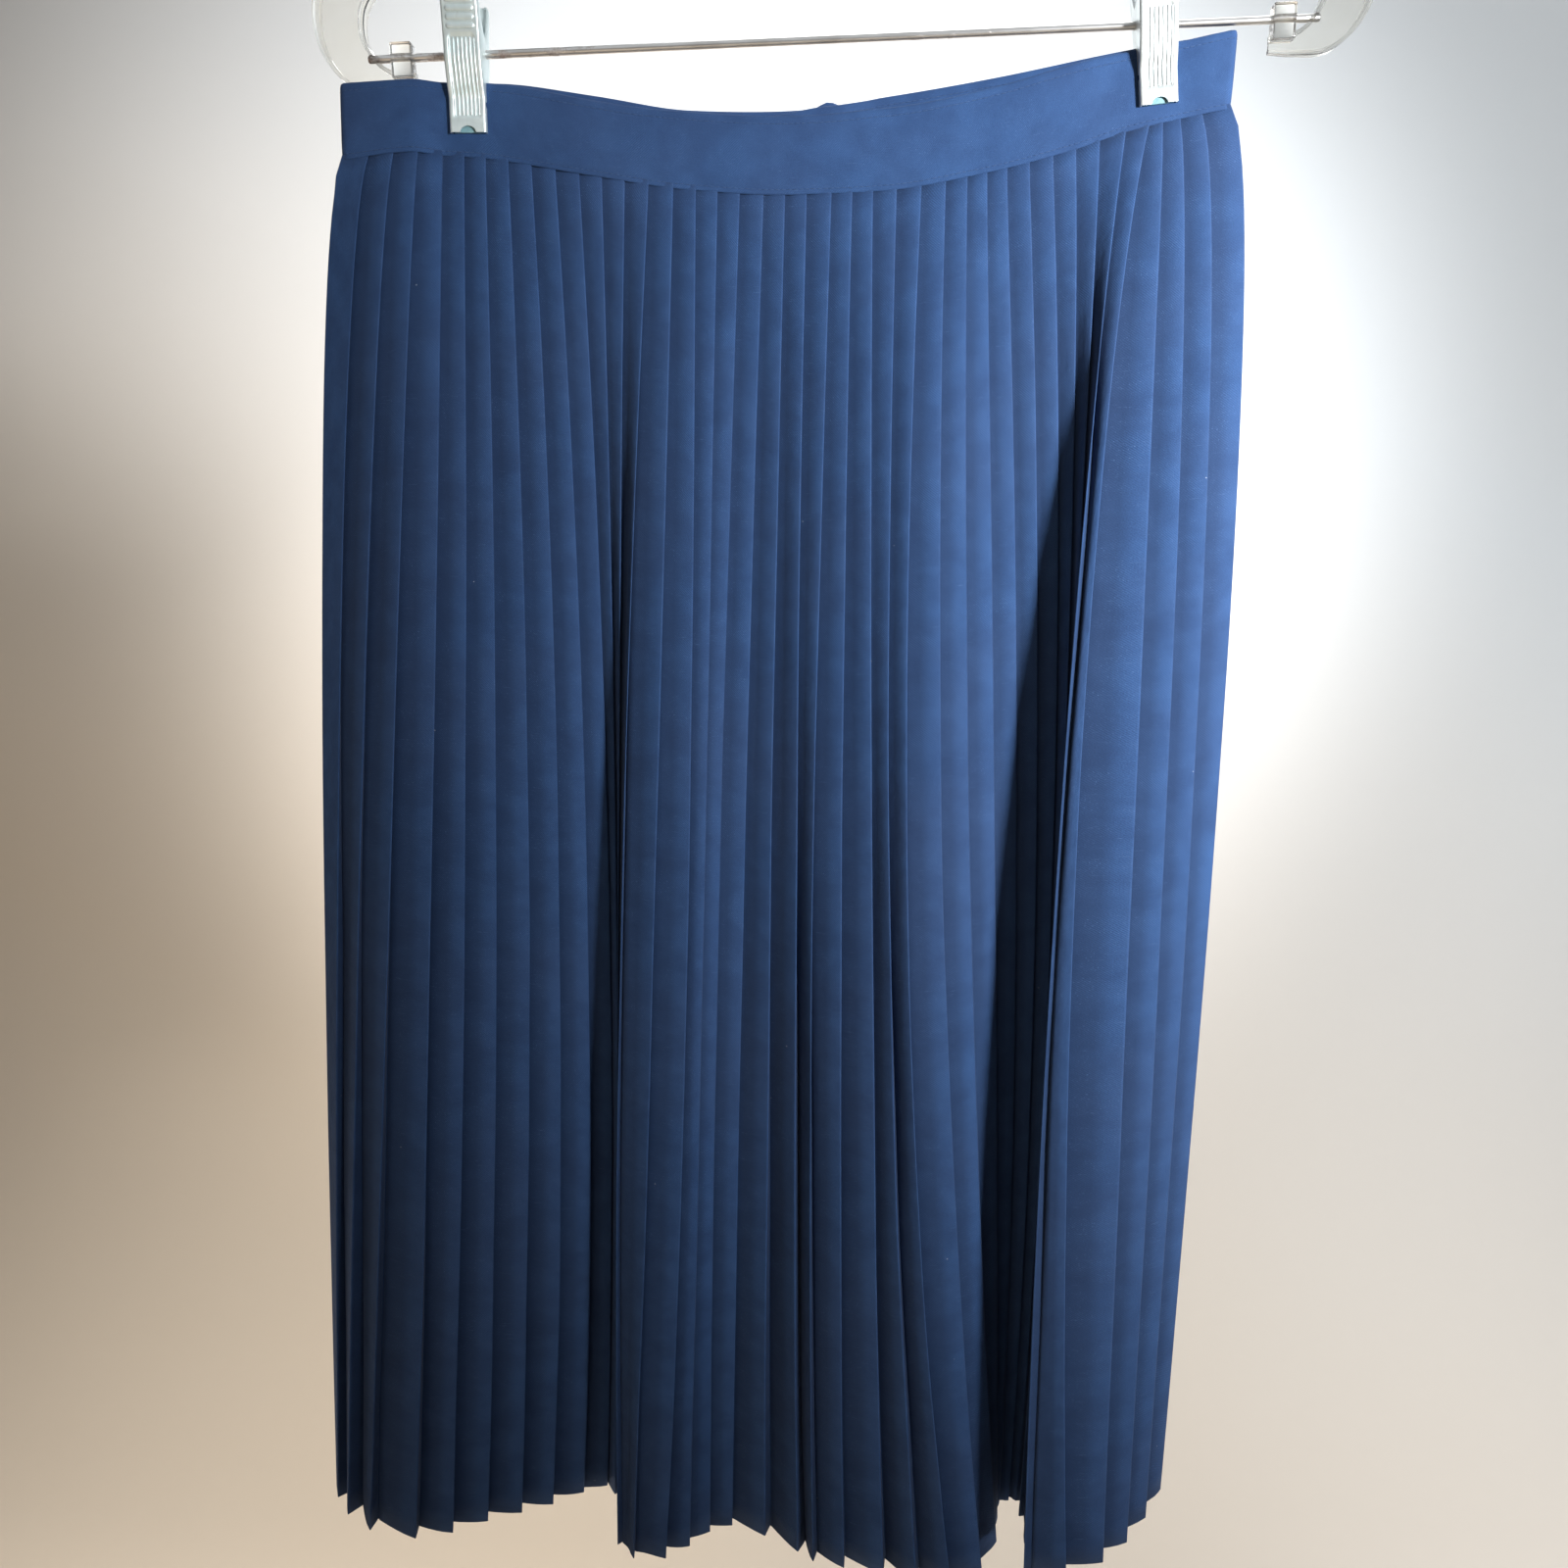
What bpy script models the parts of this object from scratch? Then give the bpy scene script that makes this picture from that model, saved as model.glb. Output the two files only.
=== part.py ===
"""Pleated midi skirt hanging by two spring clips from the rod of a clear hanger.

Metres, +Z up, +X to the wearer's left, -Y the skirt's front.
The origin is where the hanger's hook rests on whatever holds it up.
"""
import math
from collections import namedtuple

import bmesh
import bpy
from mathutils import Matrix, Vector

MM = 0.001

# ---------------------------------------------------------------- sizes
GAP = 0.3 * MM                 # between pieces that meet
TILT = math.radians(3.2)       # the hanger hangs right end up, the skirt is off its centre

# hanger, in its own frame: x along the rod, z up, origin under the hook
ROD_DROP = 167.2 * MM          # hook's contact point to the rod's axis
ROD_RADIUS = 1.6 * MM
ROD_HALF = 195.0 * MM
HOOK_WIRE = 1.7 * MM           # wire radius
HOOK_RADIUS = 19.0 * MM        # of the wire's axis
HOOK_START = math.radians(-62)  # where the round top begins
HOOK_SWEEP = math.radians(268)
STEM_FOOT = -59.5 * MM         # the wire's end inside the neck
STEM_CLEAR = 1.0 * MM          # the wire's straight stretch above the neck, up to its first point
STEM_RISE = 3.5 * MM           # and up to its bend
HOOK_LEAVE = 6.0 * MM          # how firmly the bend leaves the stem
HOOK_ARRIVE = 5.0 * MM         # and how firmly it meets the round top
NECK_RADIUS = 6.5 * MM
NECK_TOP = -47.0 * MM
NECK_FOOT = -72.0 * MM
PLASTIC_FLATNESS = 0.36        # thickness of the arms over their depth

SOCKET_INNER = 176.0 * MM       # the hanger's rod sockets, from the middle
SOCKET_OUTER = 185.0 * MM
SOCKET_TOP = 5.5 * MM           # above the rod's axis
SOCKET_FOOT = 8.0 * MM          # below it, down in the arm's lip
SOCKET_THICK = 6.5 * MM
SOCKET_BORE_IN = 5.0 * MM      # how far the rod's bore starts before the socket

CLIP_WIDTH = 15.5 * MM
CLIP_SHEET = 0.8 * MM          # pressed steel
CLIP_BORE = 2.5 * MM           # radius of the lugs' holes, loose on the rod
CLIP_ABOVE = 25.0 * MM         # rod to the tops of the grips
CLIP_BELOW = 30.5 * MM         # rod to the ends of the jaws
CLIP_GRIP_SPREAD = 12.0 * MM   # each grip's distance from the middle plane, at its top
CLIP_ROD_SPREAD = 8.0 * MM     # and at the rod
CLIP_HALF_GAP = 1.15 * MM      # half the way between the band's walls, pinched in the jaws
LUG_HEIGHT = 9.0 * MM
LUG_TIP = 4.0 * MM             # how far a lug reaches past the rod's axis
PAD_THICK = 1.2 * MM
PAD_WIDTH = 12.5 * MM
PAD_HEIGHT = 11.0 * MM
SPRING_RADIUS = 3.6 * MM
SPRING_WALL = 1.1 * MM
SPRING_LENGTH = 8.5 * MM
LEFT_CLIP = -153.0 * MM        # along the rod
RIGHT_CLIP = 129.0 * MM
LEFT_SWIVEL = math.radians(-2.0)
RIGHT_SWIVEL = math.radians(4.5)

# skirt: "across" runs along x from its middle, "drop" down from the band's seam
SKIRT_MIDDLE = -12.0 * MM
SEAM_HEIGHT = -205.4 * MM      # the seam's z in the middle, before it sags
WAIST_WIDTH = 366.0 * MM       # laid flat
CLOTH_LENGTH = 661.0 * MM      # seam to hem
BAND_HEIGHT = 30.0 * MM
BAND_WALL = 2.0 * MM
BAND_END_FOLD = 2.4 * MM       # length of the turn at the band's two folded ends
BAND_UNDERLAP = 30.0 * MM
CLOTH_WALL = 1.0 * MM
PLEATS = 39                    # in the front, and in the two backs together
PLEAT_DEPTH_WAIST = 1.4 * MM
PLEAT_DEPTH_HEM = 8.0 * MM
BACK_SAG = 0.75                # the back band sags less than the front
HALF_GAP_WAIST = 2.2 * MM      # least half distance between the front and back cloth
SIDE_GAP_WAIST = 0.65 * MM     # the same at the side seams, where the panels meet
SIDE_GAP_HEM = 0.45 * MM
BAND_STEP = 9.0 * MM           # between the band's sections
OVERLAP_RISE = 1.0 * MM        # past the centre back, where the band's hidden end starts to come out
OVERLAP_RUN = 14.0 * MM        # and the length it takes

CLOSURE_PLEAT = 17             # the centre-back seam, counted from the right side
ZIP_LENGTH = 180.0 * MM
ZIP_CHAIN_HALF = 2.5 * MM
ZIP_TAPE_HALF = 5.5 * MM
ZIP_CHAIN_OUT = 0.7 * MM       # the chain's face, out from the cloth's middle
ZIP_CHAIN_IN = -1.1 * MM       # and its back
ZIP_TAPE_OUT = -1.3 * MM       # the tape's edge, behind the cloth
ZIP_TAPE_IN = -1.8 * MM
SLIDER_TOP = 1.0 * MM          # below the band's seam
SLIDER_CLEAR = 0.6 * MM        # from the slider's foot to the chain
SLIDER_LENGTH = 8.0 * MM
SLIDER_WIDTH = 7.5 * MM
SLIDER_PLATE = Vector((SLIDER_WIDTH, 1.1 * MM, SLIDER_LENGTH))
SLIDER_PLATE_OUT = 1.45 * MM   # the plate's middle, out from the cloth's middle
SLIDER_CORE = Vector((4.6 * MM, 2.4 * MM, 7.4 * MM))
BRIDGE_WIDTH = 1.4 * MM
BRIDGE_LENGTH = 6.6 * MM
BRIDGE_IN = 1.6 * MM
BRIDGE_OUT = 4.7 * MM
TUNNEL_LENGTH = 4.4 * MM       # the hole under the bridge, for the pull's bar
TUNNEL_IN = 2.0 * MM
TUNNEL_OUT = 3.9 * MM
PIN_OUT = 3.0 * MM             # the pull's axis, out from the cloth's middle
PULL_LENGTH = 20.0 * MM
PULL_WIDTH = 6.0 * MM
PULL_THICK = 1.0 * MM
PULL_BAR = 0.55 * MM           # half the height of the bar under the bridge
PULL_SLOT_HALF = 1.3 * MM
PULL_SLOT_FOOT = -6.0 * MM
BUTTON_FROM_END = 12.0 * MM    # the button's middle, from the band's outer end
BUTTON_HOLE_RADIUS = 0.8 * MM
BUTTON_HOLE_OFF = 1.5 * MM

# Along the band: how far the front seam hangs under a straight line, half the way between
# the front and back band, and how far both stand forward, clear of the hanger's left lip.
# Millimetres.
Sag = namedtuple("Sag", "across drop")
FRONT_SAG = [
    Sag(-183, 3.2), Sag(-153, 0.8), Sag(-130, 3.5), Sag(-80, 11.6), Sag(-39, 18.2),
    Sag(5, 23.3), Sag(43, 23.4), Sag(84, 18.8), Sag(119, 10.0), Sag(142, 4.3),
    Sag(163, 0.0), Sag(183, -4.1),
]
Bow = namedtuple("Bow", "across half_gap forward")
BAND_BOW = [
    Bow(-183, 2.3, 5.4), Bow(-168, 2.2, 5.5), Bow(-154, 1.9, 5.0), Bow(-141, 1.15, 0.0),
    Bow(-120, 1.15, 0.0), Bow(-85, 3.0, 0.0), Bow(15, 5.5, 0.0), Bow(105, 3.0, 0.0),
    Bow(139, 1.15, 0.0), Bow(162, 1.15, 0.0), Bow(174, 2.0, 0.0), Bow(183, 2.2, 0.0),
]

# Where the pleats run, a row for each fold's crest, flank and valley. pleat counts from the
# side seam where the panel starts. waist and hem are across, bend is how far the pleat
# swings to the side half way down, and depth is the hem's distance from the viewer, all in
# millimetres. opening is how far the pleats stand open.
Fold = namedtuple("Fold", "pleat waist bend hem depth opening")
FRONT_FOLDS = [
    Fold(0, -183, 0, -221, 0, 0.3),        # left side seam
    Fold(1, -171.5, 0, -216, -10, 0.8),
    Fold(3, -151.5, 3, -190, -32, 1.0),
    Fold(4, -142.5, 4, -165.5, -35, 1.0),  # left crest
    Fold(6, -124.5, 5, -132.5, -20, 1.0),
    Fold(8, -105, 8, -102, -4, 1.0),
    Fold(10, -84.5, 7, -76, 14, 0.4),      # left valley
    Fold(11.5, -70, 1, -69, 6, 0.3),
    Fold(13, -55, -5, -64, -20, 0.3),      # middle-left crest
    Fold(14, -44.5, 1, -54.5, -27, 0.6),
    Fold(15, -35, 4, -38, -25, 1.0),
    Fold(17, -16.5, -2.5, -17, -5, 0.8),
    Fold(18, -6.5, -1.5, -6, 0, 0.8),      # shallow hollow
    Fold(20, 11.5, -2, 30, -15, 1.0),
    Fold(21, 21.8, -3.5, 38, -21, 1.0),
    Fold(23, 39, -1.5, 74, -28, 1.0),
    Fold(25, 59, -12, 107.5, -36, 1.0),    # middle-right crest
    Fold(26, 69, -8.5, 124, -28, 0.8),
    Fold(27, 77.8, -4.5, 133.5, -12, 0.4),
    Fold(29, 94, 7, 138, 11, 0.2),         # right valley, deep
    Fold(31, 112.5, 9, 146, 8, 0.4),
    Fold(33, 131.5, 0, 145, -26, 0.3),
    Fold(34, 142, -8, 141, -47, 0.5),      # right crest
    Fold(35, 151.5, -15.5, 160.5, -50, 1.0),
    Fold(36, 156.5, -3, 180, -43, 1.0),
    Fold(38, 171.5, 2.5, 207, -17, 0.9),
    Fold(39, 183, 3, 219, 0, 0.3),         # right side seam
]
BACK_FOLDS = [
    Fold(0, 183, 3, 219, 0, 0.3),          # right side seam
    Fold(1.7, 167, 2, 202, 17, 0.9),
    Fold(4.2, 143.6, 0, 172, 36, 1.0),
    Fold(7.2, 115.4, 0, 139, 42, 1.0),
    Fold(12.2, 68.5, 0, 79, 21, 1.0),
    Fold(17, 23.5, 0, 24, 40, 1.0),        # centre back
    Fold(21.6, -19.7, 0, -28, 22, 1.0),
    Fold(26.2, -62.9, 0, -81, 41, 1.0),
    Fold(31, -107.9, 0, -136, 22, 1.0),
    Fold(34.7, -142.6, 0, -180, 33, 1.0),
    Fold(37.3, -167, 0, -205, 16, 0.9),
    Fold(39, -183, 0, -221, 0, 0.3),       # left side seam
]
PLACKET_END = 0.28             # share of the way down where the back edges close under the zip
ROWS = [0.0, 0.05, 0.12, 0.2, PLACKET_END, 0.36, 0.48, 0.64, 0.82, 1.0]   # down the cloth, seam to hem

# The hanger's arm from the lip under its socket to the middle. Millimetres.
Arm = namedtuple("Arm", "x z half_depth")
HANGER_ARM = [
    Arm(175.0, -176.5, 3.2), Arm(185.0, -176.5, 4.2), Arm(196.0, -173.0, 7.5),
    Arm(204.5, -162.0, 9.5), Arm(205.0, -147.0, 10.5), Arm(193.0, -129.0, 11.0),
    Arm(150.0, -107.0, 9.5), Arm(75.0, -84.0, 8.5), Arm(0.0, -69.0, 9.0),
]
# A turned button's section, from its back round its rim to its front. Millimetres.
Turned = namedtuple("Turned", "radius out")
BUTTON_SECTION = [
    Turned(0.0, 0.0), Turned(6.0, 0.0), Turned(7.5, 0.8), Turned(7.5, 2.4),
    Turned(6.9, 3.0), Turned(5.8, 2.6), Turned(4.8, 2.0), Turned(0.0, 2.0),
]


# ---------------------------------------------------------------- helpers
def through(rows, column, at):
    """A column's value at a place in the table's first column, on a smooth curve that
    turns only at the rows."""
    keys = [row[0] for row in rows]
    values = [getattr(row, column) for row in rows]
    steps = [keys[i + 1] - keys[i] for i in range(len(keys) - 1)]
    rises = [(values[i + 1] - values[i]) / steps[i] for i in range(len(steps))]
    slopes = [rises[0]]
    for before, after in zip(rises, rises[1:]):
        slopes.append(2 * before * after / (before + after) if before * after > 0 else 0.0)
    slopes.append(rises[-1])
    at = min(max(at, keys[0]), keys[-1])
    i = max(k for k in range(len(steps)) if keys[k] <= at)
    s = (at - keys[i]) / steps[i]
    rise = values[i + 1] - values[i]
    start = slopes[i] * steps[i]
    end = slopes[i + 1] * steps[i]
    return values[i] + s * start + s * s * (3 * rise - 2 * start - end) + s ** 3 * (start + end - 2 * rise)


def mix(a, b, share):
    return a + (b - a) * share


def ease(share):
    share = min(max(share, 0.0), 1.0)
    return share * share * (3 - 2 * share)


def material(name, colour, roughness, metallic=0.0, alpha=1.0):
    mat = bpy.data.materials.new(name)
    mat.use_nodes = True
    shader = mat.node_tree.nodes["Principled BSDF"]
    shader.inputs["Base Color"].default_value = (*colour, 1.0)
    shader.inputs["Roughness"].default_value = roughness
    shader.inputs["Metallic"].default_value = metallic
    shader.inputs["Alpha"].default_value = alpha
    return mat


def add(name, data, mat, parent=None, where=(0, 0, 0)):
    """A new object in the skirt's collection, placed under its parent."""
    obj = bpy.data.objects.new(name, data)
    if mat:
        data.materials.append(mat)
    parts.objects.link(obj)
    obj.parent = parent
    obj.location = where
    return obj


def mesh_of(bm, name):
    bmesh.ops.recalc_face_normals(bm, faces=bm.faces)
    data = bpy.data.meshes.new(name)
    bm.to_mesh(data)
    bm.free()
    return data


def sheet_mesh(name, lines):
    """An open surface through lines of points that run down the cloth."""
    bm = bmesh.new()
    grid = [[bm.verts.new(point) for point in line] for line in lines]
    for left, right in zip(grid, grid[1:]):
        for i in range(len(left) - 1):
            bm.faces.new((left[i], left[i + 1], right[i + 1], right[i]))
    data = bpy.data.meshes.new(name)
    bm.to_mesh(data)
    bm.free()
    return data


def wall(obj, thickness):
    solid = obj.modifiers.new("wall", "SOLIDIFY")
    solid.thickness = thickness
    solid.offset = 0.0
    solid.use_even_offset = True
    solid.use_rim = True


def box_mesh(name, size, centre=(0, 0, 0)):
    bm = bmesh.new()
    bmesh.ops.create_cube(bm, size=1.0)
    bmesh.ops.scale(bm, vec=size, verts=bm.verts)
    bmesh.ops.translate(bm, vec=centre, verts=bm.verts)
    return mesh_of(bm, name)


def cylinder_mesh(name, radius, length, sides, axis="Z", centre=(0, 0, 0)):
    bm = bmesh.new()
    bmesh.ops.create_cone(bm, cap_ends=True, segments=sides, radius1=radius, radius2=radius, depth=length)
    if axis == "X":
        bmesh.ops.rotate(bm, matrix=Matrix.Rotation(math.radians(90), 3, "Y"), verts=bm.verts)
    elif axis == "Y":
        bmesh.ops.rotate(bm, matrix=Matrix.Rotation(math.radians(90), 3, "X"), verts=bm.verts)
    bmesh.ops.translate(bm, vec=centre, verts=bm.verts)
    return mesh_of(bm, name)


def wire_curve(name, points, radius, radii=None):
    """A round wire through the points, with filled ends."""
    curve = bpy.data.curves.new(name, "CURVE")
    curve.dimensions = "3D"
    curve.bevel_depth = radius
    curve.bevel_resolution = 2
    curve.use_fill_caps = True
    line = curve.splines.new("POLY")
    line.points.add(len(points) - 1)
    for i, point in enumerate(points):
        line.points[i].co = (*point, 1.0)
        line.points[i].radius = radii[i] / radius if radii else 1.0
    return curve


def mesh_from_curve(obj):
    """The curve's object again as a mesh with welded caps, ready to be cut or joined."""
    name = obj.name
    data = bpy.data.meshes.new_from_object(obj.evaluated_get(bpy.context.evaluated_depsgraph_get()))
    bm = bmesh.new()
    bm.from_mesh(data)
    bmesh.ops.remove_doubles(bm, verts=bm.verts, dist=1e-6)
    bmesh.ops.recalc_face_normals(bm, faces=bm.faces)
    bm.to_mesh(data)
    bm.free()
    parent = obj.parent
    bpy.data.objects.remove(obj)
    data.name = name
    return add(name, data, None, parent)


def boolean(obj, other_data, operation):
    """Join or cut the object with another mesh, which is kept as a hidden guide."""
    guide = bpy.data.objects.new(f"{obj.name}_{operation.lower()}", other_data)
    cutters.objects.link(guide)
    guide.parent = obj.parent
    guide.location = obj.location
    guide.hide_render = True
    guide.display_type = "WIRE"
    mod = obj.modifiers.new(operation.title(), "BOOLEAN")
    mod.operation = operation
    mod.object = guide
    return guide


# ---------------------------------------------------------------- the hung cloth
def band_sag(across, back):
    """How far the seam hangs under the straight line, for the front or the back."""
    drop = through(FRONT_SAG, "drop", across / MM) * MM
    if not back:
        return drop
    middle = ease(1.0 - abs(across) / (WAIST_WIDTH / 2))
    return drop * mix(1.0, BACK_SAG, min(1.0, 2 * middle))


def seam_height(across, back):
    return SEAM_HEIGHT + math.tan(TILT) * across - band_sag(across, back)


def half_gap(across):
    """Half the way between the middles of the front and back walls of the band."""
    return through(BAND_BOW, "half_gap", across / MM) * MM


def band_middle(across):
    """The depth half way between the band's front and back walls."""
    return -through(BAND_BOW, "forward", across / MM) * MM


def cloth_point(folds, pleat, down, inward=0.0, along=0.0):
    """A point of a panel: pleats from the side seam, share of the way down, and how
    far it is moved inward, square to the cloth, and along it."""
    back = folds is BACK_FOLDS
    side = 1.0 if back else -1.0

    def plan(at):
        waist = through(folds, "waist", at) * MM
        hem = through(folds, "hem", at) * MM
        near_side = min(at, PLEATS - at)
        end_gap = mix(SIDE_GAP_WAIST, SIDE_GAP_HEM, down)
        waist_gap = mix(end_gap, max(half_gap(waist), HALF_GAP_WAIST), ease(near_side))
        waist_depth = band_middle(waist) + side * waist_gap
        hem_depth = through(folds, "depth", at) * MM + side * end_gap
        # The sides swing out at the hips at once, and the middle only on the way down.
        outer = (abs(waist) / (WAIST_WIDTH / 2)) ** 3
        spread = down ** mix(1.1, 0.5, outer)
        bend = through(folds, "bend", at) * MM * 4 * spread * (1 - spread)
        across = mix(waist, hem, spread) + bend
        depth = mix(waist_depth, hem_depth, down ** 0.8)
        fall = math.sqrt(CLOTH_LENGTH ** 2 - (hem - waist) ** 2 - (hem_depth - waist_depth) ** 2)
        return across, depth, seam_height(waist, back) - GAP - fall * down

    step = 0.25
    before = plan(max(pleat - step, 0.0))
    after = plan(min(pleat + step, PLEATS))
    run = Vector((after[0] - before[0], after[1] - before[1])).normalized()
    across, depth, height = plan(pleat)
    outward = Vector((run.y, -run.x))
    place = Vector((across, depth)) - outward * inward + run * along
    return Vector((SKIRT_MIDDLE + place.x, place.y, height))


def pleat_depth(folds, pleat, down):
    opening = through(folds, "opening", pleat)
    return mix(PLEAT_DEPTH_WAIST, PLEAT_DEPTH_HEM * opening, down ** 0.8)


def panel_lines(folds, first, last, plain, shift):
    """Lines down a panel: one on each pleat's outer fold and one on the inner fold
    behind it. Pleats in plain have no fold. shift moves the end lines along."""
    lines = []
    for pleat in range(first, last + 1):
        along = shift.get(pleat, lambda down: 0.0)
        lines.append([cloth_point(folds, pleat, down, along=along(down)) for down in ROWS])
        if pleat not in plain:
            lines.append([cloth_point(folds, pleat, down, inward=pleat_depth(folds, pleat, down))
                          for down in ROWS])
    return lines


def placket_edge(down):
    """How far a back panel's edge stands from the centre-back line."""
    closing = (down - PLACKET_END) / (ROWS[ROWS.index(PLACKET_END) + 1] - PLACKET_END)
    return mix(ZIP_CHAIN_HALF + GAP, GAP / 2, ease(closing))


def build_panels():
    ends = {0, PLEATS}
    front = panel_lines(FRONT_FOLDS, 0, PLEATS, ends, {})
    right = panel_lines(
        BACK_FOLDS, 0, CLOSURE_PLEAT, {0, CLOSURE_PLEAT - 1, CLOSURE_PLEAT},
        {CLOSURE_PLEAT: lambda down: -placket_edge(down)},
    )
    left = panel_lines(
        BACK_FOLDS, CLOSURE_PLEAT, PLEATS, {CLOSURE_PLEAT, PLEATS},
        {CLOSURE_PLEAT: placket_edge},
    )
    for name, lines in (("front", front), ("back_right", right), ("back_left", left)):
        wall(add(name, sheet_mesh(name, lines), navy), CLOTH_WALL)


def band_path():
    """The band's middle seen from above, from its hidden end round to its outer end,
    as (across, depth, is back)."""
    half = WAIST_WIDTH / 2
    closure = through(BACK_FOLDS, "waist", CLOSURE_PLEAT) * MM
    inner = BAND_WALL + GAP
    path = []

    def straight(start, end, back, inset=lambda across: 0.0):
        count = max(2, round(abs(end - start) / BAND_STEP))
        for i in range(count + 1):
            across = mix(start, end, i / count)
            side = 1.0 if back else -1.0
            depth = band_middle(across) + side * (half_gap(across) - inset(across))
            path.append((across, depth, back))

    def end_fold(sign):
        edge = sign * (half - BAND_END_FOLD)
        radius = half_gap(edge)
        for angle in (60, 30, 0, -30, -60):
            turn = math.radians(angle) * sign
            across = edge + sign * BAND_END_FOLD * math.cos(turn)
            path.append((across, band_middle(edge) + radius * math.sin(turn), angle * sign > 0))

    straight(closure - BAND_UNDERLAP, half - BAND_END_FOLD, True,
             lambda across: inner * (1.0 - ease((across - closure - OVERLAP_RISE) / OVERLAP_RUN)))
    end_fold(1.0)
    straight(half - BAND_END_FOLD, -(half - BAND_END_FOLD), False)
    end_fold(-1.0)
    straight(-(half - BAND_END_FOLD), closure, True)
    return path


def build_waistband():
    lines = []
    for across, depth, back in band_path():
        seam = seam_height(across, back)
        lines.append([(SKIRT_MIDDLE + across, depth, seam + BAND_HEIGHT * share) for share in (1.0, 0.5, 0.0)])
    wall(add("waistband", sheet_mesh("waistband", lines), navy), BAND_WALL)


# ---------------------------------------------------------------- closure
def closure_frame():
    """An empty at the top of the zip: x along the band, y outward, z up the zip."""
    top = cloth_point(BACK_FOLDS, CLOSURE_PLEAT, 0.0)
    lower = cloth_point(BACK_FOLDS, CLOSURE_PLEAT, ZIP_LENGTH / CLOTH_LENGTH)
    frame = bpy.data.objects.new("zip_frame", None)
    parts.objects.link(frame)
    frame.location = top
    frame.rotation_euler = (math.atan2(lower.y - top.y, top.z - lower.z), 0.0, 0.0)
    return frame


def on_rows(down, outward):
    """A point at the centre back, on the straight run between the cloth's rows."""
    lower = next(row for row in ROWS if row >= down)
    upper = ROWS[max(ROWS.index(lower) - 1, 0)]
    share = (down - upper) / (lower - upper) if lower > upper else 0.0
    ends = [cloth_point(BACK_FOLDS, CLOSURE_PLEAT, row, inward=-outward) for row in (upper, lower)]
    return ends[0].lerp(ends[1], share)


def build_zip():
    """The closed chain between the back panels' edges, on a tape behind them."""
    half_section = [
        (ZIP_CHAIN_HALF, ZIP_CHAIN_OUT), (ZIP_CHAIN_HALF, ZIP_CHAIN_IN),
        (ZIP_TAPE_HALF, ZIP_TAPE_OUT), (ZIP_TAPE_HALF, ZIP_TAPE_IN),
    ]
    section = half_section + [(-side, out) for side, out in reversed(half_section)]
    top = (SLIDER_TOP + SLIDER_LENGTH + SLIDER_CLEAR) / CLOTH_LENGTH
    foot = ZIP_LENGTH / CLOTH_LENGTH
    bm = bmesh.new()
    rings = []
    for down in [top] + [row for row in ROWS if top < row < foot] + [foot]:
        rings.append([bm.verts.new(on_rows(down, out) + Vector((side, 0, 0))) for side, out in section])
    for upper, lower in zip(rings, rings[1:]):
        for i in range(len(section)):
            j = (i + 1) % len(section)
            bm.faces.new((upper[i], upper[j], lower[j], lower[i]))
    bm.faces.new(rings[0])
    bm.faces.new(rings[-1][::-1])
    add("zip", mesh_of(bm, "zip"), zip_tape)


def build_slider(frame):
    """Plate, core between the tapes and bridge, with the tunnel for the pull's bar."""
    middle = -SLIDER_TOP - SLIDER_LENGTH / 2
    slider = add("zip_slider", box_mesh("zip_slider", SLIDER_PLATE, (0, SLIDER_PLATE_OUT, middle)),
                 dark_metal, frame)
    boolean(slider, box_mesh("slider_core", SLIDER_CORE, (0, 0, middle)), "UNION")
    bridge = (BRIDGE_WIDTH, BRIDGE_OUT - BRIDGE_IN, BRIDGE_LENGTH)
    boolean(slider, box_mesh("slider_bridge", bridge, (0, (BRIDGE_OUT + BRIDGE_IN) / 2, middle)), "UNION")
    tunnel = (2 * BRIDGE_WIDTH, TUNNEL_OUT - TUNNEL_IN, TUNNEL_LENGTH)
    boolean(slider, box_mesh("slider_tunnel", tunnel, (0, (TUNNEL_OUT + TUNNEL_IN) / 2, middle)), "DIFFERENCE")
    return middle


def rounded_outline(width, top, bottom, steps=5):
    """A tab's outline in x and z: square-ish at the top, round at the bottom."""
    radius = width / 2
    points = [(-radius, top), (radius, top)]
    for i in range(steps + 1):
        angle = math.pi * i / steps
        points.append((radius * math.cos(angle), bottom + radius - radius * math.sin(angle)))
    return points


def plate_curve(name, outlines, thickness):
    """A flat plate of the first outline with the others cut out of it, lying in x and y."""
    curve = bpy.data.curves.new(name, "CURVE")
    curve.dimensions = "2D"
    curve.fill_mode = "BOTH"
    curve.extrude = thickness / 2
    for outline in outlines:
        line = curve.splines.new("POLY")
        line.points.add(len(outline) - 1)
        for i, (x, y) in enumerate(outline):
            line.points[i].co = (x, y, 0.0, 1.0)
        line.use_cyclic_u = True
    return curve


def upright(data):
    """Turn a plate drawn in x and y up into x and z."""
    data.transform(Matrix.Rotation(math.radians(90), 4, "X"))


def build_pull(frame, slider_middle):
    """The pull tab, hanging from the bar that passes under the slider's bridge."""
    hinge = bpy.data.objects.new("zip_pull_hinge", None)
    parts.objects.link(hinge)
    hinge.parent = frame
    hinge.location = (0, PIN_OUT, slider_middle)
    outer = rounded_outline(PULL_WIDTH, PULL_BAR, -PULL_LENGTH)
    hole = [(-PULL_SLOT_HALF, -PULL_BAR), (PULL_SLOT_HALF, -PULL_BAR),
            (PULL_SLOT_HALF, PULL_SLOT_FOOT), (-PULL_SLOT_HALF, PULL_SLOT_FOOT)]
    obj = add("zip_pull", plate_curve("zip_pull", [outer, hole], PULL_THICK), None, hinge)
    pull = mesh_from_curve(obj)
    upright(pull.data)
    pull.data.materials.append(dark_metal)


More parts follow.
